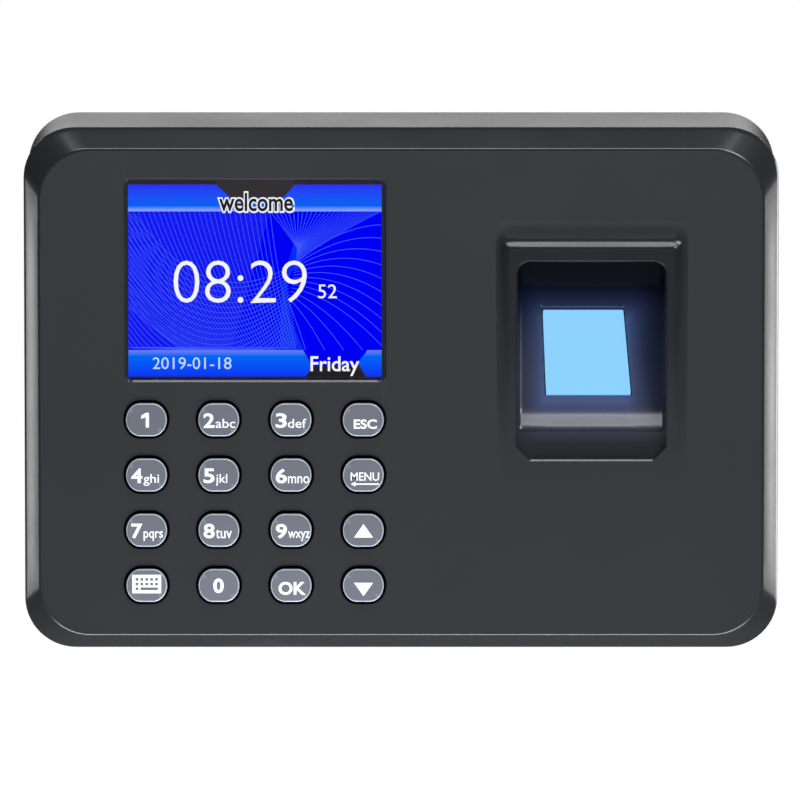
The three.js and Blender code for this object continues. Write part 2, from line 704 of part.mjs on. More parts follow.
function screw(size, x, z, seat) {
  const points = [
    [0, -size.headTall],
    [size.head * 0.8, -size.headTall],
    [size.head, -size.headTall * 0.6],
    [size.head, 0],
    [size.shank, 0],
    [size.shank, size.length - size.shank],
    [size.shank * 0.3, size.length],
    [0, size.length],
  ].map(([radius, along]) => new THREE.Vector2(radius, along));
  const body = new THREE.LatheGeometry(points, ROUND_STEPS / 2 + 2);
  body.rotateX(Math.PI);
  return body.translate(x, -seat, z);
}

// ---- The whole terminal ----

const PLASTIC = 0x4a4b50;
const BLACK = 0x16171a;
const STEEL = 0xb9bcc0;
const group = new THREE.Group();

group.add(mesh('front_cover', frontCover(), PLASTIC, 0.5));
group.add(mesh('rear_shell', rearShell(), PLASTIC, 0.4));
group.add(mesh('rating_label', ratingLabel(), 0xd8d8d4, 0.6));
group.add(mesh('display_lens', displayLens(), 0xdfe6f2, 0.05, 0, { transparent: true, opacity: 0.3 }));
group.add(mesh('lcd_gasket', lcdGasket(), BLACK, 0.9));
group.add(mesh('lcd_glass', lcdBlock(LCD_BACK, GASKET_BACK, GASKET.width), 0x0b20e0, 0.2));
group.add(mesh('lcd_frame', lcdBlock(BOARD_FRONT, LCD_BACK, LCD.margin), STEEL, 0.4, 0.8));
group.add(mesh('lcd_ribbon', lcdRibbon(), 0xb07a2a, 0.5));
group.add(mesh('keypad_mat', keypadMat(), BLACK, 0.8));

const capShape = keyCap();
for (const { name, x, z } of keyPlaces()) {
  const key = mesh(name, capShape, 0x767a87, 0.55);
  key.position.set(x, 0, z);
  group.add(key);
}

group.add(mesh('main_board', mainBoard(), 0x1f5a34, 0.6));
group.add(mesh('processor_chip', processorChip(), BLACK, 0.5));
group.add(mesh('memory_chip', memoryChip(), BLACK, 0.5));
group.add(mesh('cell_holder', cellHolder(), BLACK, 0.6));
group.add(mesh('coin_cell', coinCell(), STEEL, 0.3, 0.9));
group.add(mesh('usb_shell', usbShell(), STEEL, 0.3, 0.9));
group.add(mesh('usb_tongue', usbTongue(), 0xe6e6e2, 0.5));
group.add(mesh('dc_jack', dcJack(), BLACK, 0.6));
group.add(mesh('dc_pin', dcPin(), 0xc9a34a, 0.3, 0.9));
group.add(mesh('speaker_frame', speakerFrame(), BLACK, 0.5));
group.add(mesh('speaker_cone', speakerCone(), 0x2a2a2c, 0.9));
group.add(mesh('finger_well', fingerWell(), 0x303136, 0.5));

sensor.add(mesh('sensor_glass', sensorGlass(), 0x8dd1fe, 0.05));
sensor.add(mesh('sensor_box', sensorBox(), BLACK, 0.6));
sensor.add(mesh('sensor_board', sensorBoard(), 0x1f5a34, 0.6));
sensor.add(mesh('sensor_camera', sensorCamera(), BLACK, 0.4));
sensor.add(mesh('sensor_led_left', sensorLed(-1), 0xdfeaff, 0.4));
sensor.add(mesh('sensor_led_right', sensorLed(1), 0xdfeaff, 0.4));
group.add(sensor);
group.add(mesh('sensor_cable', sensorCable(), 0x8a8d92, 0.6));

CASE_SCREWS.forEach(([x, z], index) => {
  group.add(mesh(`case_screw_${index + 1}`, screw(CASE_SCREW, x, z, POST_TOP - POST_SHELF), STEEL, 0.35, 0.9));
});
BOARD_SCREWS.forEach(([x, z], index) => {
  group.add(mesh(`board_screw_${index + 1}`, screw(BOARD_SCREW, x, z, BOARD_BACK), STEEL, 0.35, 0.9));
});
WELL_SCREWS.forEach(([x, z], index) => {
  const seat = lugFront() - LUG.thick;
  group.add(mesh(`well_screw_${index + 1}`, screw(BOARD_SCREW, x, z, seat), STEEL, 0.35, 0.9));
});

export default group;
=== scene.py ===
# %% [markdown]
# # A fingerprint scanner terminal that hangs on a wall
# The measured model (the frame) holds every part with its true size and motion. This lesson dresses it:
# each visible part gets a fine mesh and a finish of its own. Everything is in metres in Blender, but the
# sizes below are written in millimetres, because that is how a maker would measure such a small case.

# %% Load the measured model
import json
import math

import bmesh
import bpy
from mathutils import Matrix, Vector, geometry


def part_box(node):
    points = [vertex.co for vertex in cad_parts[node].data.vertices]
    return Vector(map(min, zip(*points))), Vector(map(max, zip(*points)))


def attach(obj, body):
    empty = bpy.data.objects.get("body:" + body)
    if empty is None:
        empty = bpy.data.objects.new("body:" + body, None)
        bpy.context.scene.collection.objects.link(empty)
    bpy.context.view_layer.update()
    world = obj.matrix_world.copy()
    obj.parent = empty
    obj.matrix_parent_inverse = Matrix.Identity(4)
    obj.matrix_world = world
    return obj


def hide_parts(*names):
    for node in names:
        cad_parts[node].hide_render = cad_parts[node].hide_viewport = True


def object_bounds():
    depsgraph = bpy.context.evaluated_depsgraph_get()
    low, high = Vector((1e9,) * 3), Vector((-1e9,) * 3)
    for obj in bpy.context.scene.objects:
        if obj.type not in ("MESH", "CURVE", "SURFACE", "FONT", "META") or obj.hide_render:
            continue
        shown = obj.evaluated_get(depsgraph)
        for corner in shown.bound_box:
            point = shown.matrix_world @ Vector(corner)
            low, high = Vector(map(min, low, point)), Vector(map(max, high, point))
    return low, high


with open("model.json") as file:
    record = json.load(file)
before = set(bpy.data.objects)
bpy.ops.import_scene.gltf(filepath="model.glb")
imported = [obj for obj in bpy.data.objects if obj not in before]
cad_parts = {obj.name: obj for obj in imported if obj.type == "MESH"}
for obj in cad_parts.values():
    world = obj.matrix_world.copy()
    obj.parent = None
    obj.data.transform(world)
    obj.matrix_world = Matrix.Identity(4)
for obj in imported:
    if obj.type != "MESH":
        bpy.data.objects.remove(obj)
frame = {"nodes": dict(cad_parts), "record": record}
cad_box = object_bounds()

# %% [markdown]
# X runs to the right, Z up, and the wall is the plane Y = 0. The front looks along -Y, so it is handy to
# speak of a distance "off the wall". These helpers turn the frame's boxes into millimetres in that sense.

# %% Read places from the frame
MM = 0.001


def node_span(node):
    """Lowest and highest x, distance off the wall, and z of a CAD node, in millimetres."""
    low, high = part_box(node)
    return (
        (low.x / MM, high.x / MM),
        (-high.y / MM, -low.y / MM),
        (low.z / MM, high.z / MM),
    )


def node_centre(node):
    (x0, x1), _, (z0, z1) = node_span(node)
    return (x0 + x1) / 2, (z0 + z1) / 2


case_x, _, case_z = node_span("front_cover")
WIDTH = case_x[1] - case_x[0]
HEIGHT = case_z[1] - case_z[0]
_, rear_off, _ = node_span("rear_shell")
PARTING = rear_off[1]
_, key_off, _ = node_span("key_1")
KEY_PROUD = 0.9
FACE = key_off[1] - KEY_PROUD
print("case", round(WIDTH, 1), "x", round(HEIGHT, 1), "mm, face", round(FACE, 1), "mm off the wall")

# %% [markdown]
# ## Camera
# The terminal is seen from far away with a long lens, from about eleven degrees above its face, so that
# the top of the case shows as a narrow strip and the sides stay almost parallel.

# %% Set up the camera
CAMERA_ELEVATION = math.radians(11.3)
CAMERA_DISTANCE = 4.5
CAMERA_LENS = 826
AIM = Vector((-0.3 * MM, -FACE * MM, -1.8 * MM))

camera_data = bpy.data.cameras.new("camera")
camera_data.lens = CAMERA_LENS
camera_data.sensor_width = 36
camera_data.clip_end = 30
camera = bpy.data.objects.new("camera", camera_data)
bpy.context.collection.objects.link(camera)
towards_camera = Vector((0, -math.cos(CAMERA_ELEVATION), math.sin(CAMERA_ELEVATION)))
camera.location = AIM + towards_camera * CAMERA_DISTANCE
camera.rotation_euler = towards_camera.to_track_quat("Z", "Y").to_euler()
bpy.context.scene.camera = camera
bpy.context.scene.view_settings.view_transform = "Standard"
print("camera at", [round(v, 3) for v in camera.location])

# %% [markdown]
# ## Studio light
# Dark plastic is drawn by what it reflects. A soft key from high on the right lights the face. A box almost
# straight above draws the brow, the step in the well and the upper edge line. A low box in front draws
# the lower edge line, and a far card below the camera is what the flat face itself mirrors. A narrow box
# behind each side draws the bright stripe down each bevel, and a white card behind and above is what the
# top of the case mirrors at a grazing angle. The last box stands to the side and only lights the back.

# %% Make the lights
def soft_box(name, place, target, width, height, power):
    """A rectangular lamp that looks at a target point. It is never seen itself."""
    data = bpy.data.lights.new(name, "AREA")
    data.shape = "RECTANGLE"
    data.size = width
    data.size_y = height
    data.energy = power
    lamp = bpy.data.objects.new(name, data)
    bpy.context.collection.objects.link(lamp)
    lamp.location = place
    lamp.rotation_euler = (Vector(place) - Vector(target)).to_track_quat("Z", "Y").to_euler()
    lamp.visible_camera = False
    return lamp


FACE_CENTRE = (0, -FACE * MM, 0)
soft_box("key_light", (0.9, -1.15, 1.4), FACE_CENTRE, 0.7, 0.7, 24)
soft_box("top_light", (0.0, -0.33, 1.0), FACE_CENTRE, 0.9, 0.2, 6.5)
soft_box("low_light", (0.0, -0.16, -0.262), (0, -0.03, -0.06), 0.45, 0.05, 1.6)
soft_box("face_card", (0.0, -2.2, -0.21), FACE_CENTRE, 0.6, 0.34, 0.8)
soft_box("left_strip", (-0.55, 0.155, -0.10), (-0.09, -0.03, 0), 0.06, 0.12, 0.245)
soft_box("right_strip", (0.55, 0.155, -0.10), (0.09, -0.03, 0), 0.06, 0.12, 0.26)
soft_box("back_card", (0.0, 1.5, 0.31), (0, 0, 0.065), 1.4, 0.3, 1.65)
soft_box("rear_fill", (0.95, 0.85, -0.12), (0, 0, 0), 0.5, 0.5, 5)

STUDIO_DIM, STUDIO_SEEN = 0.085, 1.0  # the room's brightness in reflections, and as seen past the terminal
world = bpy.data.worlds.new("studio")
bpy.context.scene.world = world
world.use_nodes = True
sky = world.node_tree.nodes["Background"]
seen = world.node_tree.nodes.new("ShaderNodeLightPath")
brightness = world.node_tree.nodes.new("ShaderNodeMapRange")
brightness.inputs["To Min"].default_value = STUDIO_DIM
brightness.inputs["To Max"].default_value = STUDIO_SEEN
world.node_tree.links.new(seen.outputs["Is Camera Ray"], brightness.inputs["Value"])
world.node_tree.links.new(brightness.outputs["Result"], sky.inputs["Strength"])
sky.inputs["Color"].default_value = (1, 1, 1, 1)

# %% [markdown]
# ## Floor
# The terminal hangs, so the floor lies well below it and catches no shadow in the main view. It is kept out
# of the reflections, which would otherwise wash out the dark underside of the bevel.

# %% Make the floor
FLOOR_DROP = 0.22
FLOOR_REACH = 0.6
FLOOR_PAINT, FLOOR_ROUGHNESS = (0.85, 0.85, 0.85, 1), 0.8

floor_mesh = bpy.data.meshes.new("floor")
floor_z = case_z[0] * MM - FLOOR_DROP
signs = ((-1, -1), (1, -1), (1, 1), (-1, 1))
floor_corners = [(side * FLOOR_REACH, end * FLOOR_REACH, floor_z) for side, end in signs]
floor_mesh.from_pydata(floor_corners, [], [(0, 1, 2, 3)])
floor = bpy.data.objects.new("floor", floor_mesh)
bpy.context.collection.objects.link(floor)
floor_material = bpy.data.materials.new("floor paint")
floor_material.use_nodes = True
floor_shader = floor_material.node_tree.nodes["Principled BSDF"]
floor_shader.inputs["Base Color"].default_value = FLOOR_PAINT
floor_shader.inputs["Roughness"].default_value = FLOOR_ROUGHNESS
floor_mesh.materials.append(floor_material)
floor.visible_glossy = False
print("floor", round(floor_z, 3), "m")

# %% [markdown]
# ## Shared surface effects
# Moulded plastic has a very fine spark texture, slow changes of tone where it cooled and was handled,
# and lighter edges, which stand for both rubbed wear and a painted sheen where edges catch light. Each of
# these is a node group, built once, so that every plastic can use it with its own values.

# %% A helper for node groups
def new_group(name, inputs, outputs):
    """An empty shader group. inputs maps a name to its default; outputs maps a name to its kind."""
    group = bpy.data.node_groups.new(name, "ShaderNodeTree")
    for label, default in inputs.items():
        kind = "NodeSocketColor" if isinstance(default, tuple) and len(default) == 4 else "NodeSocketFloat"
        if isinstance(default, tuple) and len(default) == 3:
            kind = "NodeSocketVector"
        socket = group.interface.new_socket(label, in_out="INPUT", socket_type=kind)
        socket.default_value = default
    for label, kind in outputs.items():
        group.interface.new_socket(label, in_out="OUTPUT", socket_type=kind)
    entry = group.nodes.new("NodeGroupInput")
    leave = group.nodes.new("NodeGroupOutput")
    return group, entry.outputs, leave.inputs


def add_node(tree, kind, settings=None, inputs=None):
    """Adds a node, sets its properties and inputs. An input may be a number or another node's output."""
    node = tree.nodes.new(kind)
    for label, value in (settings or {}).items():
        setattr(node, label, value)
    for label, value in (inputs or {}).items():
        if isinstance(value, bpy.types.NodeSocket):
            tree.links.new(value, node.inputs[label])
        else:
            node.inputs[label].default_value = value
    return node


def maths(tree, operation, *values):
    return add_node(tree, "ShaderNodeMath", {"operation": operation}, dict(enumerate(values))).outputs[0]


def vector_maths(tree, operation, result, *values):
    node = add_node(tree, "ShaderNodeVectorMath", {"operation": operation}, dict(enumerate(values)))
    return node.outputs[result]


def scaled(tree, vector, factor):
    node = add_node(tree, "ShaderNodeVectorMath", {"operation": "SCALE"}, {"Vector": vector, "Scale": factor})
    return node.outputs["Vector"]


def remap(tree, value, low, high, to_low=0.0, to_high=1.0, ease="LINEAR"):
    """Takes a value from one range to another, and holds it at the ends."""
    node = add_node(tree, "ShaderNodeMapRange", {"interpolation_type": ease}, {
        "Value": value, "From Min": low, "From Max": high, "To Min": to_low, "To Max": to_high})
    return node.outputs["Result"]


def object_place(tree):
    return add_node(tree, "ShaderNodeTexCoord").outputs["Object"]


def object_axis(tree, axis):
    return add_node(tree, "ShaderNodeSeparateXYZ", {}, {0: object_place(tree)}).outputs[axis]


def cloud(tree, low, high, scale, detail):
    """A slow noise that runs between two values over the surface."""
    noise = add_node(tree, "ShaderNodeTexNoise", {}, {
        "Vector": object_place(tree), "Scale": scale, "Detail": detail})
    return remap(tree, noise.outputs["Fac"], 0.3, 0.7, low, high)


def mix_colours(tree, factor, one, other):
    node = add_node(tree, "ShaderNodeMix", {"data_type": "RGBA"}, {"Factor": factor, "A": one, "B": other})
    return node.outputs["Result"]


# %% Fine moulded grain: roughness and normal
grain_group, take, give = new_group(
    "Moulded grain",
    {"Grain size": 0.4, "Depth": 0.02, "Roughness": 0.5, "Spread": 0.1},
    {"Roughness": "NodeSocketFloat", "Normal": "NodeSocketVector"},
)
per_metre = maths(grain_group, "DIVIDE", 1 / MM, take["Grain size"])
spark = add_node(grain_group, "ShaderNodeTexNoise", {}, {
    "Vector": object_place(grain_group), "Scale": per_metre, "Detail": 3.0})
depth = maths(grain_group, "MULTIPLY", take["Depth"], MM)
bump = add_node(grain_group, "ShaderNodeBump", {}, {
    "Height": spark.outputs["Fac"], "Distance": depth, "Strength": 1.0})
low_rough = maths(grain_group, "SUBTRACT", take["Roughness"], take["Spread"])
high_rough = maths(grain_group, "ADD", take["Roughness"], take["Spread"])
grain_group.links.new(cloud(grain_group, low_rough, high_rough, 38.0, 2.0), give["Roughness"])
grain_group.links.new(bump.outputs["Normal"], give["Normal"])
print("group:", grain_group.name)

# %% Slow changes of tone, and paler edges for wear and painted sheen
tone_group, take, give = new_group(
    "Moulded tone",
    {"Colour": (0.5, 0.5, 0.5, 1.0), "Variation": 0.08, "Edge wear and sheen": 0.3},
    {"Colour": "NodeSocketColor"},
)
drop = maths(tone_group, "SUBTRACT", 1.0, take["Variation"])
rise = maths(tone_group, "ADD", 1.0, take["Variation"])
# paler convex edges: rubbed wear together with a painted sheen where edges catch light
edge = add_node(tone_group, "ShaderNodeNewGeometry").outputs["Pointiness"]
edge_wear_and_sheen_mask = remap(tone_group, edge, 0.52, 0.6)
clouded = cloud(tone_group, drop, rise, 21.0, 4.0)
gain = maths(tone_group, "MULTIPLY_ADD", edge_wear_and_sheen_mask, take["Edge wear and sheen"], clouded)
tone_group.links.new(scaled(tone_group, take["Colour"], gain), give["Colour"])
print("group:", tone_group.name)

# %% [markdown]
# ## Plastics, metals and the rest
# A material function sets a finish from a few plain values. The constants go straight on the shader's own
# sockets, and only what changes over the surface is wired in.

# %% Helpers for finishes
def srgb(red, green, blue):
    """A colour as a screen shows it (0 to 255), turned into the linear colour that light works in."""
    def linear(value):
        value /= 255
        return value / 12.92 if value <= 0.04045 else ((value + 0.055) / 1.055) ** 2.4
    return (linear(red), linear(green), linear(blue), 1.0)


def use_group(material, group, values):
    """Places a group in a material and gives it this material's values."""
    node = material.node_tree.nodes.new("ShaderNodeGroup")
    node.node_tree = group
    for label, value in values.items():
        node.inputs[label].default_value = value
    return node


def new_material(name):
    material = bpy.data.materials.new(name)
    material.use_nodes = True
    return material, material.node_tree.nodes["Principled BSDF"]


def wire_grain(material, shader, roughness, grain, depth, spread):
    """Wires the grain group's roughness and normal into a shader."""
    surface = use_group(material, grain_group, {
        "Grain size": grain, "Depth": depth, "Roughness": roughness, "Spread": spread})
    for label in ("Roughness", "Normal"):
        material.node_tree.links.new(surface.outputs[label], shader.inputs[label])


MATERIALS, SHADERS = {}, {}


def moulded(slot, name, colour, roughness, grain=0.4, depth=0.012, spread=0.06, variation=0.05, edge=0.25,
            specular=0.5, metallic=0.0):
    """Moulded plastic, rubber, paper or plated metal: colour as seen, grain and its depth in millimetres."""
    material, shader = new_material(name)
    tone = use_group(material, tone_group, {
        "Colour": srgb(*colour), "Variation": variation, "Edge wear and sheen": edge})
    material.node_tree.links.new(tone.outputs["Colour"], shader.inputs["Base Color"])
    wire_grain(material, shader, roughness, grain, depth, spread)
    shader.inputs["Specular IOR Level"].default_value = specular
    shader.inputs["Metallic"].default_value = metallic
    MATERIALS[slot], SHADERS[slot] = material, shader


# %% Make the finishes
PLASTICS = [
    ("cover_plastic", "cover plastic", (38, 39, 43), 0.24, 0.35, 0.004, 0.02, 0.03),
    ("shell_plastic", "shell plastic", (42, 41, 44), 0.26, 0.35, 0.003, 0.02, 0.03),
    ("key_plastic", "key plastic", (97, 101, 112), 0.36, 0.3, 0.005, 0.03, 0.05, 0.4),
    # the key rim's pale colour is a painted highlight
    ("key_rim_highlight", "key rim painted highlight", (170, 174, 186), 0.3, 0.3, 0.004),
    ("key_print", "key print", (236, 238, 244), 0.5, 0.4, 0.004, 0.05, 0.02, 0.0),
    # gap_black: painted shade for gaps, seams and hole walls that stay in shade
    ("gap_black", "shaded gap", (8, 8, 10), 0.7, 0.4, 0.006, 0.05, 0.05, 0.0, 0.2),
    ("well_plastic", "well plastic", (32, 33, 38), 0.3, 0.35, 0.005, 0.03, 0.03),
    # the lip's pale blue-grey finish is a painted highlight
    ("lip", "lip painted highlight", (110, 115, 150), 0.3),
    ("lcd_glass", "lcd edge", (12, 12, 15), 0.3, 0.4, 0.002, 0.05, 0.02, 0.0, 0.05),
    ("black_plastic", "black plastic", (22, 22, 24), 0.5),
    ("white_plastic", "white plastic", (226, 226, 220), 0.45, 0.4, 0.006),
    ("chip_black", "chip epoxy", (24, 24, 27), 0.45, 0.12, 0.01),
    ("gasket_foam", "gasket foam", (20, 20, 21), 0.9, 0.5, 0.08, 0.05, 0.12, 0.0),
    ("keypad_rubber", "keypad rubber", (22, 22, 24), 0.7, 0.6, 0.01),
    ("speaker_cone", "cone paper", (38, 38, 40), 0.9, 0.5, 0.06, 0.05, 0.15),
    ("cable_jacket", "cable jacket", (128, 130, 134), 0.55, 0.5, 0.01),
    ("label_paper", "label paper", (214, 214, 208), 0.6, 0.3, 0.006, 0.05, 0.02, 0.0),
    ("label_ink", "label ink", (70, 72, 76), 0.6, 0.4, 0.002, 0.05, 0.02, 0.0),
    ("led_blue", "lamp body", (214, 226, 255), 0.2, 0.4, 0.002),
    ("flex_film", "flex film", (176, 122, 42), 0.3, 0.4, 0.004),
]
METALS = [
    ("bare_steel", "plated sheet", (200, 202, 206), 0.3),
    ("screw_steel", "zinc plate", (190, 192, 196), 0.32),
    ("pin_brass", "contact plating", (214, 180, 96), 0.25),
]
for row in PLASTICS:
    moulded(*row)
for row in METALS:
    moulded(*row, grain=0.25, depth=0.006, spread=0.08, variation=0.06, edge=0.15, metallic=1.0)
print("finishes:", len(MATERIALS))

# %% [markdown]
# The circuit boards are green with paler islands of copper between thin gaps. A cell pattern measured along
# straight lines gives such islands, which is plenty for boards that sit inside a closed case.

# %% Circuit board finish
def circuit_board():
    material, shader = new_material("circuit board")
    tree = material.node_tree
    cells = add_node(tree, "ShaderNodeTexVoronoi", {"distance": "MANHATTAN"}, {
        "Vector": object_place(tree), "Scale": 260.0})
    mask = remap(tree, cells.outputs["Distance"], 0.42, 0.48)
    tree.links.new(mix_colours(tree, mask, srgb(22, 82, 46), srgb(60, 138, 84)), shader.inputs["Base Color"])
    wire_grain(material, shader, 0.35, 0.5, 0.006, 0.06)
    return material


MATERIALS["circuit_board"] = circuit_board()
print("finishes:", len(MATERIALS))

# %% [markdown]
# ## Outlines
# Almost everything on this terminal is a rounded rectangle or an oval seen from the front. Each outline
# function returns the same number of points whatever its size, so rings of one outline at several sizes
# and depths can be joined by plain quads. That is how lofted skins are made in the cells that follow.

# %% Outline helpers
CORNER_STEPS = 14
NEARLY = 0.98  # a round uses no more than this share of the straight beside it


def rounded_rect(x, z, width, height, radius, side_steps=1, bevelled_foot=False):
    """A rectangle with round corners. bevelled_foot makes its two lower corners straight cuts."""
    outline = []
    for corner in range(4):
        side_x = 1 if corner in (0, 3) else -1
        side_z = 1 if corner < 2 else -1
        centre_x = x + side_x * (width / 2 - radius)
        centre_z = z + side_z * (height / 2 - radius)
        first, last = corner * math.pi / 2, (corner + 1) * math.pi / 2
        for step in range(CORNER_STEPS + 1):
            part = step / CORNER_STEPS
            angle = first + (last - first) * part
            dx, dz = math.cos(angle), math.sin(angle)
            if bevelled_foot and corner >= 2:
                dx = math.cos(first) * (1 - part) + math.cos(last) * part
                dz = math.sin(first) * (1 - part) + math.sin(last) * part
            outline.append((centre_x + radius * dx, centre_z + radius * dz))
        if side_steps > 1:
            tail = outline[-1]
            next_x = 1 if (corner + 1) % 4 in (0, 3) else -1
            next_z = 1 if (corner + 1) % 4 < 2 else -1
            head = (
                x + next_x * (width / 2 - radius) + radius * math.cos(last),
                z + next_z * (height / 2 - radius) + radius * math.sin(last),
            )
            for step in range(1, side_steps):
                part = step / side_steps
                outline.append((tail[0] + (head[0] - tail[0]) * part, tail[1] + (head[1] - tail[1]) * part))
    return outline


def grown_rect(x, z, width, height, radius, grow, side_steps=1, bevelled_foot=False):
    """A rounded rectangle with a margin all round."""
    return rounded_rect(x, z, width + 2 * grow, height + 2 * grow, radius + grow, side_steps, bevelled_foot)


def round_outline(x, z, radius, steps=32):
    return [
        (x + radius * math.cos(2 * math.pi * k / steps), z + radius * math.sin(2 * math.pi * k / steps))
        for k in range(steps)
    ]


def rounded_path(corners, steps=5):
    """Turns (a, b, radius) corners into a smooth path of (a, b) points."""
    path = [corners[0][:2]]
    for before, here, after in zip(corners, corners[1:], corners[2:]):
        point = Vector(here[:2])
        back = Vector(before[:2]) - point
        ahead = Vector(after[:2]) - point
        if here[2] == 0:
            path.append(tuple(point))
            continue
        turn = math.pi - back.angle(ahead)
        reach = min(here[2] * math.tan(turn / 2), back.length * NEARLY, ahead.length * NEARLY)
        start = point + back.normalized() * reach
        end = point + ahead.normalized() * reach
        for step in range(steps + 1):
            part = step / steps
            path.append(tuple(start.lerp(point, part).lerp(point.lerp(end, part), part)))
    path.append(corners[-1][:2])
    return path


print("a corner has", CORNER_STEPS + 1, "points")

# %% [markdown]
# A Skin collects points and faces in millimetres. Flat areas with holes in them are filled by a constrained
# Delaunay triangulation, which keeps every ring as it is and needs no Boolean.

# %% The skin builder
MERGE = 1e-7  # points closer than this are one point


def is_inside(point, loop):
    """True if a flat point lies inside a closed loop."""
    crossings = False
    for (x0, z0), (x1, z1) in zip(loop, loop[1:] + loop[:1]):
        if (z0 > point.y) != (z1 > point.y) and point.x < (x1 - x0) * (point.y - z0) / (z1 - z0) + x0:
            crossings = not crossings
    return crossings


class Skin:
    """Rings of points joined into one surface: x, distance off the wall, and z, in millimetres."""

    def __init__(self):
        self.points = []
        self.faces = []

    def ring(self, outline, off):
        """Adds a ring at a distance off the wall, which may be a function of x and z."""
        first = len(self.points)
        for x, z in outline:
            height = off(x, z) if callable(off) else off
            self.points.append((x, height, z))
        return list(range(first, len(self.points)))

    def bridge(self, one, other):
        count = len(one)
        for k in range(count):
            following = (k + 1) % count
            self.faces.append((one[k], one[following], other[following], other[k]))

    def chain(self, rings):
        for one, other in zip(rings, rings[1:]):
            self.bridge(one, other)

    def cap(self, ring):
        self.faces.append(tuple(ring))

    def fill(self, outer, holes=()):
        """Fills a flat area between an outer ring and the rings of its holes."""
        loops = [outer, *holes]
        order = [index for loop in loops for index in loop]
        flat = [Vector((self.points[i][0], self.points[i][2])) for i in order]
        edges = []
        start = 0
        for loop in loops:
            edges += [(start + k, start + (k + 1) % len(loop)) for k in range(len(loop))]
            start += len(loop)
        points, _, triangles, origin, _, _ = geometry.delaunay_2d_cdt(flat, edges, [], 1, MERGE)
        gaps = [[(self.points[i][0], self.points[i][2]) for i in hole] for hole in holes]
        for triangle in triangles:
            middle = sum((points[i] for i in triangle), Vector((0, 0))) / 3
            if not any(is_inside(middle, gap) for gap in gaps):
                self.faces.append(tuple(order[origin[i][0]] for i in triangle))


def make_mesh(name, skin, transform=None):
    """A Blender mesh from a skin, with its faces turned outwards."""
    mesh = bpy.data.meshes.new(name)
    if transform is None:
        points = [(x * MM, -off * MM, z * MM) for x, off, z in skin.points]
    else:
        points = [transform(point) for point in skin.points]
    mesh.from_pydata(points, [], skin.faces)
    work = bmesh.new()
    work.from_mesh(mesh)
    bmesh.ops.remove_doubles(work, verts=work.verts, dist=MERGE)
    bmesh.ops.dissolve_degenerate(work, edges=work.edges, dist=MERGE)
    bmesh.ops.recalc_face_normals(work, faces=work.faces)
    work.to_mesh(mesh)
    work.free()
    return mesh


def add_piece(name, mesh, finish, slot, body="case", stands_for=(), sharp_angle=50):
    """Adds a piece to the scene, gives it a finish and says which body it rides on."""
    piece = bpy.data.objects.new(name, mesh)
    bpy.context.collection.objects.link(piece)
    for each in [finish] if isinstance(finish, str) else finish:
        mesh.materials.append(MATERIALS[each])
    mesh.shade_smooth()
    mesh.set_sharp_from_angle(angle=math.radians(sharp_angle))
    even = piece.modifiers.new("even normals", "WEIGHTED_NORMAL")
    even.keep_sharp = True
    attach(piece, body)
    if stands_for:
        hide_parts(*stands_for)


def add_skin(name, skin, finish, slot, **details):
    """Makes a mesh from a skin and adds it as a piece of the same name."""
    mesh = make_mesh(name, skin)
    add_piece(name, mesh, finish, slot, **details)
    return mesh


print("skin builder ready")

# %% [markdown]
# ## Front cover
# The real cover is one thin moulding: a flat face, a sloping bevel down to the rim, holes for the window,
# the keys and the finger well, and a low hood that shades the well. The cover is lofted from rings, so its
# edges get true small rounds and chamfers, which is where the light catches. The seam at the rim and the
# walls of the key holes are always in shade, so they take a black finish.

# %% Sizes of the cover
WALL = 2.5
INSIDE = FACE - WALL
CORNER = 12.5
BEVEL, SIDE_SHARE = 4.3, 0.87
BELLY = 0.34
RIM_LAND, RIM_ROUND = 1.3, 3.0
FACE_EDGE_ROUND = 1.0
SEAM = 1.1

LENS_LIP = 1.5
(lens_x0, lens_x1), lens_off, (lens_z0, lens_z1) = node_span("display_lens")
LENS_WIDTH, LENS_HEIGHT = lens_x1 - lens_x0, lens_z1 - lens_z0
WINDOW_X, WINDOW_Z = node_centre("display_lens")
WINDOW_WIDTH, WINDOW_HEIGHT = LENS_WIDTH - 2 * LENS_LIP, LENS_HEIGHT - 2 * LENS_LIP
WINDOW_ROUND, WINDOW_EDGE = 1.6, 0.45

KEY_LIP = 1.0
KEY_FLAT = 3.0
KEY_GAP, KEY_HOLE_EDGE = 0.4, 0.2
KEY_CENTRES = {name: node_centre(name) for name in sorted(frame["nodes"]) if name.startswith("key_")}
(key_x0, key_x1), key_span, (key_z0, key_z1) = node_span("key_1")
KEY_WIDTH = key_x1 - key_x0 - 2 * KEY_LIP
KEY_HEIGHT = key_z1 - key_z0 - 2 * KEY_LIP


def key_oval(x, z, grow, steps=56):
    """The outline of a key: two half ellipses joined by short flats, grown by a margin."""
    outline = []
    reach_x, reach_z = (KEY_WIDTH - KEY_FLAT) / 2 + grow, KEY_HEIGHT / 2 + grow
    for k in range(steps):
        angle = 2 * math.pi * (k + 0.5) / steps
        shift = math.copysign(KEY_FLAT / 2, math.cos(angle))
        outline.append((x + shift + reach_x * math.cos(angle), z + reach_z * math.sin(angle)))
    return outline


print("window", round(WINDOW_WIDTH, 1), "x", round(WINDOW_HEIGHT, 1))
print("key", round(KEY_WIDTH, 1), "x", round(KEY_HEIGHT, 1))

# %% [markdown]
# The hood rises to a crest along its brow and falls back to the face below the well. One function gives its
# height anywhere, so the crest, the ramp above it and its soft sides stay one continuous surface.

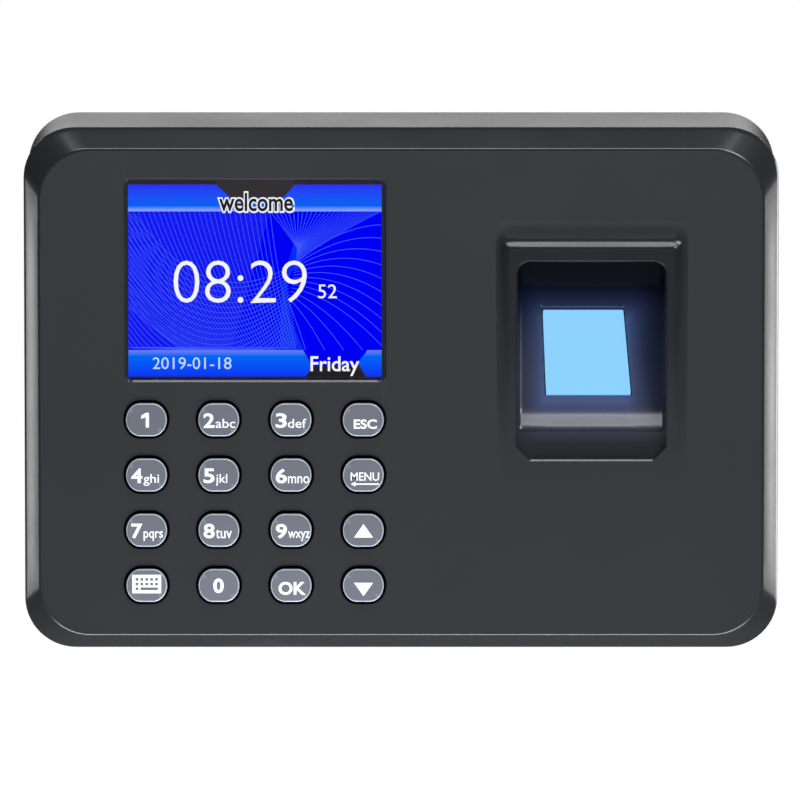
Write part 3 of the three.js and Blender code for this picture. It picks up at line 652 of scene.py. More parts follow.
# %% The hood's height
_, _, (_, well_top) = node_span("finger_well")
WELL_WALL = 1.6
WELL_WIDTH, WELL_HEIGHT, WELL_ROUND = 36.3, 49.55, 3.0
WELL_X, _ = node_centre("finger_well")
WELL_Z = well_top - WELL_WALL - WELL_HEIGHT / 2
HOOD_HALF_WIDTH = 22.4
HOOD_CREST_Z = 36.1
HOOD_BROW_Z = 38.4
HOOD_RAMP_Z = 43.0
HOOD_FOOT_Z = -24.0
HOOD_RISE = cad_box[0].y / -MM - FACE
HOOD_RAMP_RISE = 0.3
HOOD_SIDE_SOFT = 2.4
HOOD_FALL = 1.6  # the power with which the hood falls from its crest to its foot


def smooth_step(low, high, value):
    part = min(max((value - low) / (high - low), 0), 1)
    return part * part * (3 - 2 * part)


def hood_height(x, z):
    """Height of the hood above the face."""
    side_start, side_end = HOOD_HALF_WIDTH - HOOD_SIDE_SOFT, HOOD_HALF_WIDTH + HOOD_SIDE_SOFT / 2
    side = 1 - smooth_step(side_start, side_end, abs(x - WELL_X))
    if z > HOOD_BROW_Z:
        rise = HOOD_RAMP_RISE * (1 - smooth_step(HOOD_BROW_Z, HOOD_RAMP_Z, z))
    elif z > HOOD_CREST_Z:
        part = (HOOD_BROW_Z - z) / (HOOD_BROW_Z - HOOD_CREST_Z)
        rise = HOOD_RAMP_RISE + (HOOD_RISE - HOOD_RAMP_RISE) * smooth_step(0, 1, part)
    else:
        part = max((z - HOOD_FOOT_Z) / (HOOD_CREST_Z - HOOD_FOOT_Z), 0)
        rise = HOOD_RISE * part ** HOOD_FALL
    return rise * side


print("hood rises", round(HOOD_RISE, 2), "mm")

# %% Build the cover
MOUTH_CHAMFER, MOUTH_SOFT = 0.45, 0.1
HOOD_LOOPS = 58
HOOD_PATCH = (9.5, 48.0, 73.0, 4.0)  # centre z, width, height and corner radius of the hood's area
EDGE_STEPS = 8

cover = Skin()


def cover_outline(inset):
    """The case's outline, drawn in by an inset that is a little smaller at the sides."""
    return rounded_rect(0, 0, WIDTH - 2 * inset * SIDE_SHARE, HEIGHT - 2 * inset, CORNER, 24)


def well_outline(grow):
    return grown_rect(WELL_X, WELL_Z, WELL_WIDTH, WELL_HEIGHT, WELL_ROUND, grow, 40, True)


def bevel_off(inset, off):
    """Lifts the side bevels into a slight belly, which fades out before the corners."""
    part = min(max(inset / BEVEL, 0), 1)
    lift = 4 * BELLY * part * (1 - part)
    return lambda x, z: off + lift * (1 - smooth_step(HEIGHT / 2 - 2 * CORNER, HEIGHT / 2 - CORNER, abs(z)))


bevel_foot = PARTING + RIM_LAND
outer_path = rounded_path([
    (WALL, PARTING, 0), (0, PARTING, 0.2), (0, bevel_foot, RIM_ROUND),
    (BEVEL / 2, (bevel_foot + FACE) / 2, 0), (BEVEL, FACE, FACE_EDGE_ROUND),
    (BEVEL + 1.4, FACE, 0)], EDGE_STEPS)
outer_rings = [cover.ring(cover_outline(inset), bevel_off(inset, off)) for inset, off in outer_path]
cover.chain(outer_rings)
inner_ring = cover.ring(cover_outline(BEVEL + 1.5), INSIDE)
cover.bridge(outer_rings[0], inner_ring)


def chamfer_path(edge, soft, start, end):
    """An edge cut back by a chamfer with softened ends, as (grow, off) points from start down to end."""
    corners = [(edge + 2 * soft, start, 0), (edge, start, soft), (0, start - edge, soft), (0, end, 0)]
    return rounded_path(corners, 3)


def window_outline(grow):
    return grown_rect(WINDOW_X, WINDOW_Z, WINDOW_WIDTH, WINDOW_HEIGHT, WINDOW_ROUND, grow)


holes = [(WINDOW_EDGE, window_outline)]
for centre in KEY_CENTRES.values():
    holes.append((KEY_HOLE_EDGE, lambda grow, at=centre: key_oval(*at, KEY_GAP + grow)))
face_holes, inside_holes = [], []
for edge, outline in holes:
    rings = [cover.ring(outline(grow), off) for grow, off in chamfer_path(edge, edge / 5, FACE, INSIDE)]
    cover.chain(rings)
    face_holes.append(rings[0])
    inside_holes.append(rings[-1])

patch_z, patch_width, patch_height, patch_round = HOOD_PATCH
hood_edge = rounded_rect(WELL_X, patch_z, patch_width, patch_height, patch_round, 40)
rim_start = well_outline(MOUTH_CHAMFER + 2 * MOUTH_SOFT)
hood_rings = []
for loop in range(HOOD_LOOPS + 1):
    part = 1 - loop / HOOD_LOOPS
    outline = [tuple(Vector(rim).lerp(Vector(edge), part)) for rim, edge in zip(rim_start, hood_edge)]
    hood_rings.append(cover.ring(outline, lambda x, z: FACE + hood_height(x, z)))
for grow, off in chamfer_path(MOUTH_CHAMFER, MOUTH_SOFT, FACE, FACE - 1)[1:]:
    hood_rings.append(cover.ring(well_outline(grow), lambda x, z, off=off: off + hood_height(x, z)))
hood_rings.append(cover.ring(well_outline(0), INSIDE))
cover.chain(hood_rings)

cover.fill(outer_rings[-1], [*face_holes, hood_rings[0]])
cover.fill(inner_ring, [*inside_holes, hood_rings[-1]])
cover_mesh = add_skin(
    "front_cover_skin", cover, ["cover_plastic", "gap_black"], "cover_plastic", stands_for=["front_cover"])
for face in cover_mesh.polygons:
    x, off, z = face.center.x / MM, -face.center.y / MM, face.center.z / MM
    at_seam = off < PARTING + SEAM and max(abs(x) - WIDTH / 2, abs(z) - HEIGHT / 2) > -WALL
    in_wall = INSIDE < off < FACE - KEY_HOLE_EDGE
    by_key = any(math.dist((x, z), centre) < KEY_WIDTH for centre in KEY_CENTRES.values())
    face.material_index = int(at_seam or (in_wall and by_key))
print("cover faces:", len(cover.faces))

# %% [markdown]
# The hood is darkened with painted shade where it stands proud of the face, and the liner's deepest part
# is painted nearly black as shade. Both come from one node group that gives a factor between two distances
# off the wall.

# %% Painted shade where it stands proud or lies deep
depth_shade_group, take, give = new_group(
    "Painted shade by depth", {"Near": 0.0, "Far": 1.0, "At near": 1.0, "At far": 1.0}, {"Factor": "NodeSocketFloat"})
away = object_axis(depth_shade_group, "Y")
factor = remap(depth_shade_group, away, take["Near"], take["Far"], take["At near"], take["At far"], "SMOOTHSTEP")
depth_shade_group.links.new(factor, give["Factor"])


def paint_depth_shade(slot, near, far, at_near, at_far):
    """Paints shade by scaling a finish's colour and shine between two distances off the wall, in millimetres.
    """
    shader, tree = SHADERS[slot], MATERIALS[slot].node_tree
    values = {"Near": -near * MM, "Far": -far * MM, "At near": at_near, "At far": at_far}
    tone = use_group(MATERIALS[slot], depth_shade_group, values).outputs["Factor"]
    plain = shader.inputs["Base Color"].links[0].from_socket
    tree.links.new(scaled(tree, plain, tone), shader.inputs["Base Color"])
    tree.links.new(maths(tree, "MULTIPLY", tone, 0.5), shader.inputs["Specular IOR Level"])


# painted shade on the hood where it stands proud of the face
paint_depth_shade("cover_plastic", FACE + 0.9, FACE + 0.1, 0.72, 1.0)
# painted shade deep in the well, fading to nearly black
paint_depth_shade("well_plastic", FACE - 8, FACE - 18, 1.0, 0.2)
print("hood and well deepened")

# %% [markdown]
# ## Finger well
# The liner behind the opening has an upright back, a small ledge, a slope that carries the glass, a rounded
# step and a lower flat. A rolled average over the plain profile gives each of its corners a soft moulded
# round. The walls run down into the floor with a small fillet.

# %% Build the well
BACK_OFF, LEDGE_TOP_Z = FACE - 19, 22.6
SLOPE_TOP = (21.8, FACE - 17)
SLOPE_BOTTOM = (-6.0, FACE - 6)
STEP_FOOT_Z = -9.6
WELL_PROFILE = [
    (-60, INSIDE), (STEP_FOOT_Z, INSIDE), SLOPE_BOTTOM, SLOPE_TOP, (LEDGE_TOP_Z, BACK_OFF), (60, BACK_OFF)]
FLOOR_FILLET = 1.2


def plain_floor(z):
    for (z0, off0), (z1, off1) in zip(WELL_PROFILE, WELL_PROFILE[1:]):
        if z <= z1:
            return off0 + (off1 - off0) * (z - z0) / (z1 - z0)
    return BACK_OFF


def well_floor(z):
    """The floor's distance off the wall, with its corners softened."""
    reach = 0.8 if z < -2 else 0.3
    samples = 9
    return sum(plain_floor(z + reach * (2 * k / (samples - 1) - 1)) for k in range(samples)) / samples


def floor_at_inset(inset):
    """Distance off the wall as a function of place, for points at an inset from the well's side."""
    lift = 0.0
    if inset < FLOOR_FILLET:
        lift = FLOOR_FILLET - math.sqrt(FLOOR_FILLET ** 2 - (FLOOR_FILLET - inset) ** 2)
    return lambda x, z: min(well_floor(z) + lift, INSIDE - 0.02)


well = Skin()
WELL_LOOPS = 62


def inset_outline(inset):
    radius = max(WELL_ROUND - inset, 0.02)
    return rounded_rect(
        WELL_X, WELL_Z, WELL_WIDTH - 2 * inset, WELL_HEIGHT - 2 * inset, radius, 60, inset < WELL_ROUND - 0.1)


insets = [0.0, 0.05, 0.15, 0.35, 0.6, 0.9, FLOOR_FILLET]
deepest = WELL_WIDTH / 2 - 0.05
insets += [FLOOR_FILLET + (deepest - FLOOR_FILLET) * k / WELL_LOOPS for k in range(1, WELL_LOOPS + 1)]
well_rings = [well.ring(inset_outline(0), INSIDE)]
well_rings += [well.ring(inset_outline(inset), floor_at_inset(inset)) for inset in insets]
well.chain(well_rings)
well.cap(well_rings[-1])
outside_rings = [well.ring(inset_outline(-WELL_WALL), off) for off in (INSIDE, BACK_OFF - WELL_WALL)]
well.bridge(well_rings[0], outside_rings[0])
well.bridge(*outside_rings)
well.cap(outside_rings[1])
print("well faces:", len(well.faces))

# %% [markdown]
# ## Sensor glass
# The glass block stands in a frame of its own: x across, one axis up the slope and one out of it. It is a
# touch wider at its lower end, and leans to one side. A slightly larger cutter of the same shape opens the
# liner for it, so a real gap runs round the glass; its cut walls take the black finish of painted shade.

# %% The slope's own frame
SLOPE_TILT = math.atan2(SLOPE_BOTTOM[1] - SLOPE_TOP[1], SLOPE_TOP[0] - SLOPE_BOTTOM[0])
GLASS_X, _ = node_centre("sensor_glass")
GLASS_Z = (SLOPE_TOP[0] + SLOPE_BOTTOM[0]) / 2
GLASS_OFF = (SLOPE_TOP[1] + SLOPE_BOTTOM[1]) / 2
GLASS_WIDTH, GLASS_HEIGHT, GLASS_TAPER, GLASS_LEAN = 20.2, 20.8, 0.25, 0.65
GLASS_PROUD, GLASS_THICK = 1.0, 6.0
GLASS_GAP = 0.35
ACROSS = Vector((1, 0, 0))
UP_SLOPE = Vector((0, math.sin(SLOPE_TILT), math.cos(SLOPE_TILT)))
OUT_OF_SLOPE = Vector((0, -math.cos(SLOPE_TILT), math.sin(SLOPE_TILT)))
GLASS_CENTRE = Vector((GLASS_X, -GLASS_OFF, GLASS_Z)) * MM


def on_slope(point):
    """A point given as x, distance out of the slope, and distance up it, in millimetres."""
    x, out, up = point
    return GLASS_CENTRE + (ACROSS * x + OUT_OF_SLOPE * out + UP_SLOPE * up) * MM


def glass_outline(grow, radius=0.35):
    """The glass seen square on: a rounded rectangle, wider and further right at its lower end."""
    width, height = GLASS_WIDTH + 2 * grow, GLASS_HEIGHT + 2 * grow
    outline = []
    for x, z in rounded_rect(0, 0, width, height, radius):
        rise = 2 * z / height
        outline.append((x * (1 - 2 * GLASS_TAPER * rise / width) - GLASS_LEAN * rise, z))
    return outline


def lofted_block(path, outline):
    """A closed block from (grow, out) pairs and an outline that takes the growth."""
    block = Skin()
    rings = [block.ring(outline(grow), out) for grow, out in path]
    block.chain(rings)
    block.cap(rings[0])
    block.cap(rings[-1])
    return block


def cut_away(mesh, cutters, finish, cut_finish):
    """Takes cutter meshes away from a closed mesh with an exact Boolean. Cut faces get their own finish."""
    mesh.materials.append(MATERIALS[finish])
    body = bpy.data.objects.new("body", mesh)
    bpy.context.collection.objects.link(body)
    spare = [body]
    for cutter in cutters:
        cutter.materials.append(MATERIALS[cut_finish])
        tool = bpy.data.objects.new("cutter", cutter)
        bpy.context.collection.objects.link(tool)
        spare.append(tool)
        cut = body.modifiers.new("cut", "BOOLEAN")
        cut.operation = "DIFFERENCE"
        cut.solver = "EXACT"
        cut.material_mode = "TRANSFER"
        cut.object = tool
    result = bpy.data.meshes.new_from_object(body.evaluated_get(bpy.context.evaluated_depsgraph_get()))
    for each in spare:
        bpy.data.objects.remove(each)
    return result


print("glass tilts", round(math.degrees(SLOPE_TILT), 1), "degrees back")

# %% [markdown]
# The sensor's light is even over the glass and a little deeper along its lower edge. Around it the plastic
# carries a painted blue glow, emission in its own finish that stands in for the sensor's light falling on it;
# it dies off with distance, strongest below the glass. The glow is a node group, because the liner and the
# cover both use it: it puts out a mask, worked out from the distance to the glass.

# %% Sensor light and painted glow
def outside_by(tree, value, half):
    """How far a value lies outside the span from -half to half."""
    return maths(tree, "MAXIMUM", maths(tree, "SUBTRACT", maths(tree, "ABSOLUTE", value), half), 0.0)


sensor_glow_group, take, give = new_group("Painted sensor glow", {
    "Centre": tuple(GLASS_CENTRE), "Half width": 0.5 * GLASS_WIDTH * MM,
    "Half height": 0.5 * GLASS_HEIGHT * MM, "Reach": 4.0}, {"Mask": "NodeSocketFloat"})
away = vector_maths(sensor_glow_group, "SUBTRACT", "Vector", object_place(sensor_glow_group), take["Centre"])
side, up, out = (
    vector_maths(sensor_glow_group, "DOT_PRODUCT", "Value", away, tuple(direction))
    for direction in (ACROSS, UP_SLOPE, OUT_OF_SLOPE))
offset = add_node(sensor_glow_group, "ShaderNodeCombineXYZ", {}, {
    "X": outside_by(sensor_glow_group, side, take["Half width"]),
    "Y": outside_by(sensor_glow_group, up, take["Half height"]), "Z": out}).outputs[0]
distance = vector_maths(sensor_glow_group, "LENGTH", "Value", offset)
in_reach = maths(sensor_glow_group, "MULTIPLY", maths(sensor_glow_group, "DIVIDE", distance, take["Reach"]), -1 / MM)
sensor_glow_group.links.new(maths(sensor_glow_group, "EXPONENT", in_reach), give["Mask"])


def paint_sensor_glow(slot, drop, reach, colour, strength):
    """Wires the painted sensor glow into a finish's emission. drop moves its centre down the slope, in
    millimetres.
    """
    material, shader = MATERIALS[slot], SHADERS[slot]
    values = {"Centre": GLASS_CENTRE - UP_SLOPE * drop * MM, "Reach": reach}
    mask = use_group(material, sensor_glow_group, values).outputs["Mask"]
    power = maths(material.node_tree, "MULTIPLY", mask, strength)
    material.node_tree.links.new(power, shader.inputs["Emission Strength"])
    shader.inputs["Emission Color"].default_value = colour


# painted glow: the sensor's light on the liner, drawn as emission
paint_sensor_glow("well_plastic", 2.0, 3.4, srgb(86, 108, 172), 0.45)
# painted glow: the sensor's light on the cover, drawn as emission
paint_sensor_glow("cover_plastic", 4.0, 6.5, srgb(70, 74, 130), 0.06)

LIT_FADE = 2.0  # height over which the glass brightens above its foot
_, _, (glass_foot, _) = node_span("sensor_glass")
lit, lit_shader = new_material("sensor glass")
lit_height = object_axis(lit.node_tree, "Z")
lit_part = remap(lit.node_tree, lit_height, glass_foot * MM, (glass_foot + LIT_FADE) * MM)
lit_colour = mix_colours(lit.node_tree, lit_part, srgb(84, 176, 250), srgb(141, 208, 254))
lit.node_tree.links.new(lit_colour, lit_shader.inputs["Emission Color"])
lit_shader.inputs["Emission Strength"].default_value = 1.0
lit_shader.inputs["Base Color"].default_value = srgb(10, 30, 60)
lit_shader.inputs["Roughness"].default_value = 0.12
lit_shader.inputs["Specular IOR Level"].default_value = 0.2
MATERIALS["sensor_glass"] = lit
print("haze and sensor light ready")

# %% Build the glass and open the liner for it
GLASS_ROUND = 0.15
OPENING_DEPTH, OPENING_RISE = 6.0, 2.0
glass_path = [
    (0, GLASS_PROUD - GLASS_THICK), (0, GLASS_PROUD - GLASS_ROUND),
    (-GLASS_ROUND / 3, GLASS_PROUD - GLASS_ROUND / 3), (-GLASS_ROUND, GLASS_PROUD)]
glass_mesh = make_mesh("sensor_glass_block", lofted_block(glass_path, glass_outline), on_slope)
add_piece("sensor_glass_block", glass_mesh, "sensor_glass", "sensor_glass", stands_for=["sensor_glass"])
opening_path = [(GLASS_GAP, -GLASS_THICK - OPENING_DEPTH), (GLASS_GAP, OPENING_RISE)]
opening = make_mesh("opening", lofted_block(opening_path, glass_outline), on_slope)
# the opening's cut walls take gap_black, painted shade
well_mesh = cut_away(make_mesh("finger_well_liner", well), [opening], "well_plastic", "gap_black")
add_piece("finger_well_liner", well_mesh, [], "well_plastic", stands_for=["finger_well"], sharp_angle=32)

# %% [markdown]
# A slim bright bar stands on the slope just above the glass. It is the lip that holds the glass's top edge,
# and it turns down in a small hook at its left end. Its brightness is a painted highlight: a pale blue-grey
# finish that stands in for the light its rounded edge catches.

# %% The lip over the glass
LIP_UP = GLASS_HEIGHT / 2 + 1.1
LIP_HALF = GLASS_WIDTH / 2
LIP_X = -GLASS_LEAN
LIP_RADIUS = 0.28


def tube(path, radius, steps=10):
    """A rod with round section that follows a path of points given in the slope's frame."""
    rod = Skin()
    rings = []
    for k, point in enumerate(path):
        before = Vector(path[max(k - 1, 0)])
        after = Vector(path[min(k + 1, len(path) - 1)])
        along = (after - before).normalized()
        side = along.cross(Vector((0, 1, 0))).normalized()
        top = side.cross(along)
        first = len(rod.points)
        for step in range(steps):
            angle = 2 * math.pi * step / steps
            spoke = side * math.cos(angle) + top * math.sin(angle)
            rod.points.append(tuple(Vector(point) + spoke * radius))
        rings.append(list(range(first, len(rod.points))))
    rod.chain(rings)
    rod.cap(rings[0])
    rod.cap(rings[-1])
    return rod


lip_path = [(LIP_X - LIP_HALF - 0.5, 0.1, LIP_UP + 0.5), (LIP_X - LIP_HALF - 0.1, 0.1, LIP_UP + 0.1)]
lip_path += [(LIP_X - LIP_HALF + 0.5, 0.1, LIP_UP), (LIP_X + LIP_HALF, 0.1, LIP_UP)]
lip_mesh = make_mesh("glass_lip", tube(lip_path, LIP_RADIUS), on_slope)
add_piece("glass_lip", lip_mesh, "lip", "well_plastic")
print("glass, liner and lip in place")

# %% [markdown]
# ## Lettering
# A text curve is turned into a mesh, then stretched to the box it has to fill. The letters are the plain
# built-in ones, made bolder by growing their outline. Each key carries its print as one thin piece.

# %% Lettering helpers
def text_faces(text, x0, x1, z0, z1, bold=0.0, shear=0.0):
    """Points and faces of a text that fills a box, in millimetres."""
    curve = bpy.data.curves.new("text", "FONT")
    curve.body = text
    curve.offset = bold
    curve.shear = shear
    curve.resolution_u = 4
    letters = bpy.data.objects.new("text", curve)
    bpy.context.collection.objects.link(letters)
    mesh = bpy.data.meshes.new_from_object(letters.evaluated_get(bpy.context.evaluated_depsgraph_get()))
    bpy.data.objects.remove(letters)
    flat = [(v.co.x, v.co.y) for v in mesh.vertices]
    left, low = map(min, zip(*flat))
    right, high = map(max, zip(*flat))
    across, rise = (x1 - x0) / (right - left), (z1 - z0) / (high - low)
    points = [(x0 + (x - left) * across, z0 + (y - low) * rise) for x, y in flat]
    return points, [tuple(p.vertices) for p in mesh.polygons]


def box_faces(x0, x1, z0, z1):
    return [(x0, z0), (x1, z0), (x1, z1), (x0, z1)], [(0, 1, 2, 3)]


def add_flat(skin, shape, off, shift=(0, 0)):
    """Lays a flat shape (points and faces) into a skin at a distance off the wall."""
    points, faces = shape
    first = len(skin.points)
    skin.points += [(x + shift[0], off, z + shift[1]) for x, z in points]
    skin.faces += [tuple(first + index for index in face) for face in faces]


print("lettering ready")

# %% [markdown]
# ## Keys
# Sixteen caps of one shape: an oval with a soft edge. The thin rim of light along that edge is a painted
# highlight, a pale finish on the edge's faces, and the skirt below it takes the black painted shade. Each cap
# and its print ride on the cap's own body, so they travel when the key is pressed.

# %% The print on each key, in millimetres from the key's centre
def digit_print(digit, letters, right, low=-1.95):
    shapes = [text_faces(digit, -3.75, -1.0, low, low + 3.7, 0.025)]
    high = low + 2.3
    has_tail = any(letter in "gjpqy" for letter in letters)
    has_stem = any(letter in "bdfhklt" for letter in letters)
    foot = low - (0.65 if has_tail else 0)
    shapes.append(text_faces(letters, -0.75, right, foot, high if has_stem else high - 0.5, 0.008))
    return shapes


def arrow_print(tip, base):
    return [([(-2.3, base), (2.4, base), (0.05, tip)], [(0, 1, 2)])]


def menu_print():
    line = box_faces(-1.9, 3.9, -2.35, -2.0)
    head = ([(-3.1, -2.17), (-1.9, -1.55), (-1.9, -2.8)], [(0, 1, 2)])
    return [text_faces("MENU", -3.1, 3.9, -1.35, 0.75, 0.012), line, head]


def one_print(x, low, high, width):
    """The figure one, with a flag on its left."""
    stem = 0.42 * width
    right, left = x + width / 2, x - width / 2
    tall = high - low
    corners = [(right, low), (right, high), (right - stem, high), (left, high - 0.2 * tall)]
    corners += [(left, high - 0.42 * tall), (right - stem, high - 0.3 * tall), (right - stem, low)]
    return [(corners, [tuple(range(len(corners)))])]


def keyboard_print():
    """A small picture of a keyboard: a plate with two rows of keys, one more key and a bar cut out of it."""
    left, right, low, high = -3.55, 3.55, -1.9, 2.75
    columns, rows, margin, cell = 5, 3, 0.55, 0.7
    pitch_x = (right - left - 2 * margin) / columns
    pitch_z = (high - low - 2 * margin) / rows
    plate = Skin()
    outer = plate.ring(box_faces(left, right, low, high)[0], 0)
    cut = []
    for row in range(rows):
        for column in range(columns if row else 2):
            x = left + margin + (column + 0.5) * pitch_x
            z = low + margin + (row + 0.5) * pitch_z
            reach = right - margin - 0.25 if (row, column) == (0, 1) else x + cell / 2
            cut.append(plate.ring(box_faces(x - cell / 2, reach, z - cell / 2, z + cell / 2)[0], 0))
    plate.fill(outer, cut)
    return [([(x, z) for x, _, z in plate.points], plate.faces)]


KEY_PRINT = {
    "key_1": one_print(-0.3, -1.85, 1.85, 1.9),
    "key_2": digit_print("2", "abc", 4.1),
    "key_3": digit_print("3", "def", 3.8),
    "key_4": digit_print("4", "ghi", 3.1),
    "key_5": digit_print("5", "jkl", 2.1),
    "key_6": digit_print("6", "mno", 4.5, -2.0),
    "key_7": digit_print("7", "pqrs", 4.0),
    "key_8": digit_print("8", "tuv", 3.2),
    "key_9": digit_print("9", "wxyz", 4.6, -2.0),
    "key_0": [text_faces("0", -1.4, 1.2, -1.85, 1.85, 0.03)],
    "key_esc": [text_faces("ESC", -2.35, 3.35, -2.2, 0.2, 0.03)],
    "key_ok": [text_faces("OK", -3.1, 3.6, -2.3, 1.0, 0.03)],
    "key_menu": menu_print(),
    "key_up": arrow_print(1.65, -1.75),
    "key_down": arrow_print(-2.6, 0.75),
    "key_keyboard": keyboard_print(),
}
print("keys with print:", len(KEY_PRINT))

# %% Build the caps and their print
KEY_TOP = FACE + KEY_PROUD
PRINT_LIFT = 0.02
KEY_EDGE, RIM_DEPTH, KEY_DRAFT, KEY_ROUND = 0.45, 0.05, 0.2, 0.5
FLANGE_LOW = key_span[0]
FLANGE_TOP = FLANGE_LOW + 1.0
key_path = rounded_path([
    (0.9, FLANGE_LOW, 0), (1.0, FLANGE_LOW, 0), (1.0, FLANGE_TOP, 0), (0, FLANGE_TOP, 0),
    (-KEY_DRAFT, KEY_TOP, KEY_ROUND), (-1.4, KEY_TOP, 0)], 7)
for node, centre in KEY_CENTRES.items():
    cap = lofted_block(key_path, lambda grow, at=centre: key_oval(*at, grow))
    cap_mesh = add_skin(
        node + "_cap_skin", cap, ["key_plastic", "key_rim_highlight", "gap_black"], "key_plastic",
        body=node + "_cap", stands_for=[node], sharp_angle=60)
    # faces below KEY_EDGE take the black painted shade; the band between RIM_DEPTH and KEY_EDGE takes the
    # painted highlight
    for face in cap_mesh.polygons:
        depth = KEY_TOP + face.center.y / MM
        face.material_index = 2 if depth > KEY_EDGE else int(depth > RIM_DEPTH)
    ink = Skin()
    for shape in KEY_PRINT[node]:
        add_flat(ink, shape, KEY_TOP + PRINT_LIFT, centre)
    add_skin(node + "_print", ink, "key_print", "key_plastic", body=node + "_cap")
print("caps:", len(KEY_CENTRES))

# %% [markdown]
# ## Display
# The display is lit, so its picture is made of thin glowing layers laid on the LCD's glass: a blue ground
# with fans of fine curves, a header and a footer bar with slanted notches, and the clock in plain figures.
# A bar fades from one blue to another down its height, which is one small node group used by each bar.

# %% Colours of the display
SCREEN_GLOW = 1.14

fade_group, take, give = new_group("Fade in height", {
    "Low": 0.0, "High": 1.0, "Low colour": srgb(0, 0, 255), "High colour": srgb(0, 0, 255)},
    {"Colour": "NodeSocketColor"})
part = remap(fade_group, object_axis(fade_group, "Z"), take["Low"], take["High"])
fade_group.links.new(mix_colours(fade_group, part, take["Low colour"], take["High colour"]), give["Colour"])


def glowing(name, low_colour, high_colour=None, low=0.0, high=1.0):
    """A lit colour, or a fade between two lit colours from one height to another (in millimetres)."""
    material, shader = new_material(name)
    shader.inputs["Base Color"].default_value = (0, 0, 0, 1)
    shader.inputs["Specular IOR Level"].default_value = 0.0
    shader.inputs["Emission Strength"].default_value = SCREEN_GLOW
    fade = use_group(material, fade_group, {
        "Low": low * MM, "High": high * MM,
        "Low colour": low_colour, "High colour": high_colour or low_colour})
    material.node_tree.links.new(fade.outputs["Colour"], shader.inputs["Emission Color"])
    MATERIALS[name] = material


BORDER_LEFT, BORDER_RIGHT, BORDER_FOOT, BORDER_TOP = 0.6, 0.7, 0.4, 1.6
SCREEN_X = (WINDOW_X - WINDOW_WIDTH / 2 + BORDER_LEFT, WINDOW_X + WINDOW_WIDTH / 2 - BORDER_RIGHT)
SCREEN_Z = (WINDOW_Z - WINDOW_HEIGHT / 2 + BORDER_FOOT, WINDOW_Z + WINDOW_HEIGHT / 2 - BORDER_TOP)


def screen_x(u):
    return SCREEN_X[0] + u * (SCREEN_X[1] - SCREEN_X[0])


def screen_z(v):
    return SCREEN_Z[1] - v * (SCREEN_Z[1] - SCREEN_Z[0])


HEADER_END, FOOTER_START = 0.139, 0.862
glowing("screen ground", srgb(0, 0, 255))
glowing("screen glare", srgb(22, 24, 250))
glowing("screen lines", srgb(66, 96, 255))
glowing("screen header", srgb(0, 104, 255), srgb(44, 52, 255), screen_z(0.12), screen_z(0.0))
glowing("screen header line", srgb(150, 176, 255), srgb(0, 110, 255), screen_z(HEADER_END), screen_z(0.112))
glowing("screen footer", srgb(16, 52, 255), srgb(0, 104, 255), screen_z(1.0), screen_z(0.9))
glowing("screen footer line", srgb(0, 104, 255), srgb(110, 132, 255), screen_z(0.893), screen_z(FOOTER_START))
glowing("screen white", srgb(255, 255, 255))
glowing("screen pale", srgb(206, 226, 255))
glowing("screen dark", srgb(36, 34, 40))
glowing("screen notch", srgb(54, 50, 53))
# the border between picture and window glows as painted light, standing in for light falling on the LCD's
# border
glowing("screen border painted light", srgb(42, 42, 46))
glowing("screen seam", srgb(8, 44, 255))
print("display spans", [round(v, 1) for v in (*SCREEN_X, *SCREEN_Z)])

# %% Flat shapes of the display
SPARE = 1e-6  # lets a line's end lie on the ground's edge


def screen_shape(*corners):
    """A filled shape from (u, v) corners, where u runs right and v runs down the display, 0 to 1."""
    return [(screen_x(u), screen_z(v)) for u, v in corners], [tuple(range(len(corners)))]


def screen_text(text, u0, u1, v0, v1, bold=0.0):
    return text_faces(text, screen_x(u0), screen_x(u1), screen_z(v1), screen_z(v0), bold)


def ribbon(points, width):
    """A thin strip that follows a line of (u, v) points and stays inside the ground's edges."""
    low, high = HEADER_END - SPARE, FOOTER_START + SPARE
    kept = [(u, v) for u, v in points if abs(2 * u - 1) <= 1 + SPARE and low <= v <= high]
    flat = [Vector((screen_x(u), screen_z(v))) for u, v in kept]
    if len(flat) < 2:
        return [], []
    outline = []
    for k, point in enumerate(flat):
        along = flat[min(k + 1, len(flat) - 1)] - flat[max(k - 1, 0)]
        side = Vector((-along.y, along.x)).normalized() * width / 2
        outline.append((point + side, point - side))
    points = [tuple(p) for pair in outline for p in pair]
    faces = [(2 * k, 2 * k + 1, 2 * k + 3, 2 * k + 2) for k in range(len(outline) - 1)]
    return points, faces


print("display helpers ready")

# %% [markdown]
# The ground's pattern is three fans of curves. One spreads right from a seam behind the clock's last
# figure, one falls from the header, and one crosses it from the left edge. Where two fans cross they make
# the woven look.

# %% Fans of curves
SEAM_TOP, SEAM_FOOT = (0.668, 0.33), (0.635, 0.62)
CURVE_STEPS = 60


def bend(start, control, end):
    """A quadratic curve through (u, v) points."""
    points = []
    for k in range(CURVE_STEPS + 1):
        t = k / CURVE_STEPS
        near, middle, far = (1 - t) ** 2, 2 * t * (1 - t), t ** 2
        points.append(tuple(near * a + middle * b + far * c for a, b, c in zip(start, control, end)))
    return points


def right_fan():
    """Arched curves from the seam to the ground's top, right and bottom edges."""
    ends = [(0.56 + 0.0185 * k, HEADER_END) for k in range(24)]
    ends += [(1.0, HEADER_END + 0.07 * k) for k in range(11)]
    ends += [(1.0 - 0.075 * k, FOOTER_START) for k in range(1, 5)]
    curves = []
    for k, end in enumerate(ends):
        slide = (k / (len(ends) - 1)) ** 3
        start = tuple(top + (foot - top) * slide for top, foot in zip(SEAM_TOP, SEAM_FOOT))
        arch = 0.28 if end[1] > HEADER_END else 0.08
        middle = [(a + b) / 2 for a, b in zip(start, end)]
        curves.append(bend(start, (middle[0], middle[1] - arch * abs(end[0] - start[0])), end))
    return curves


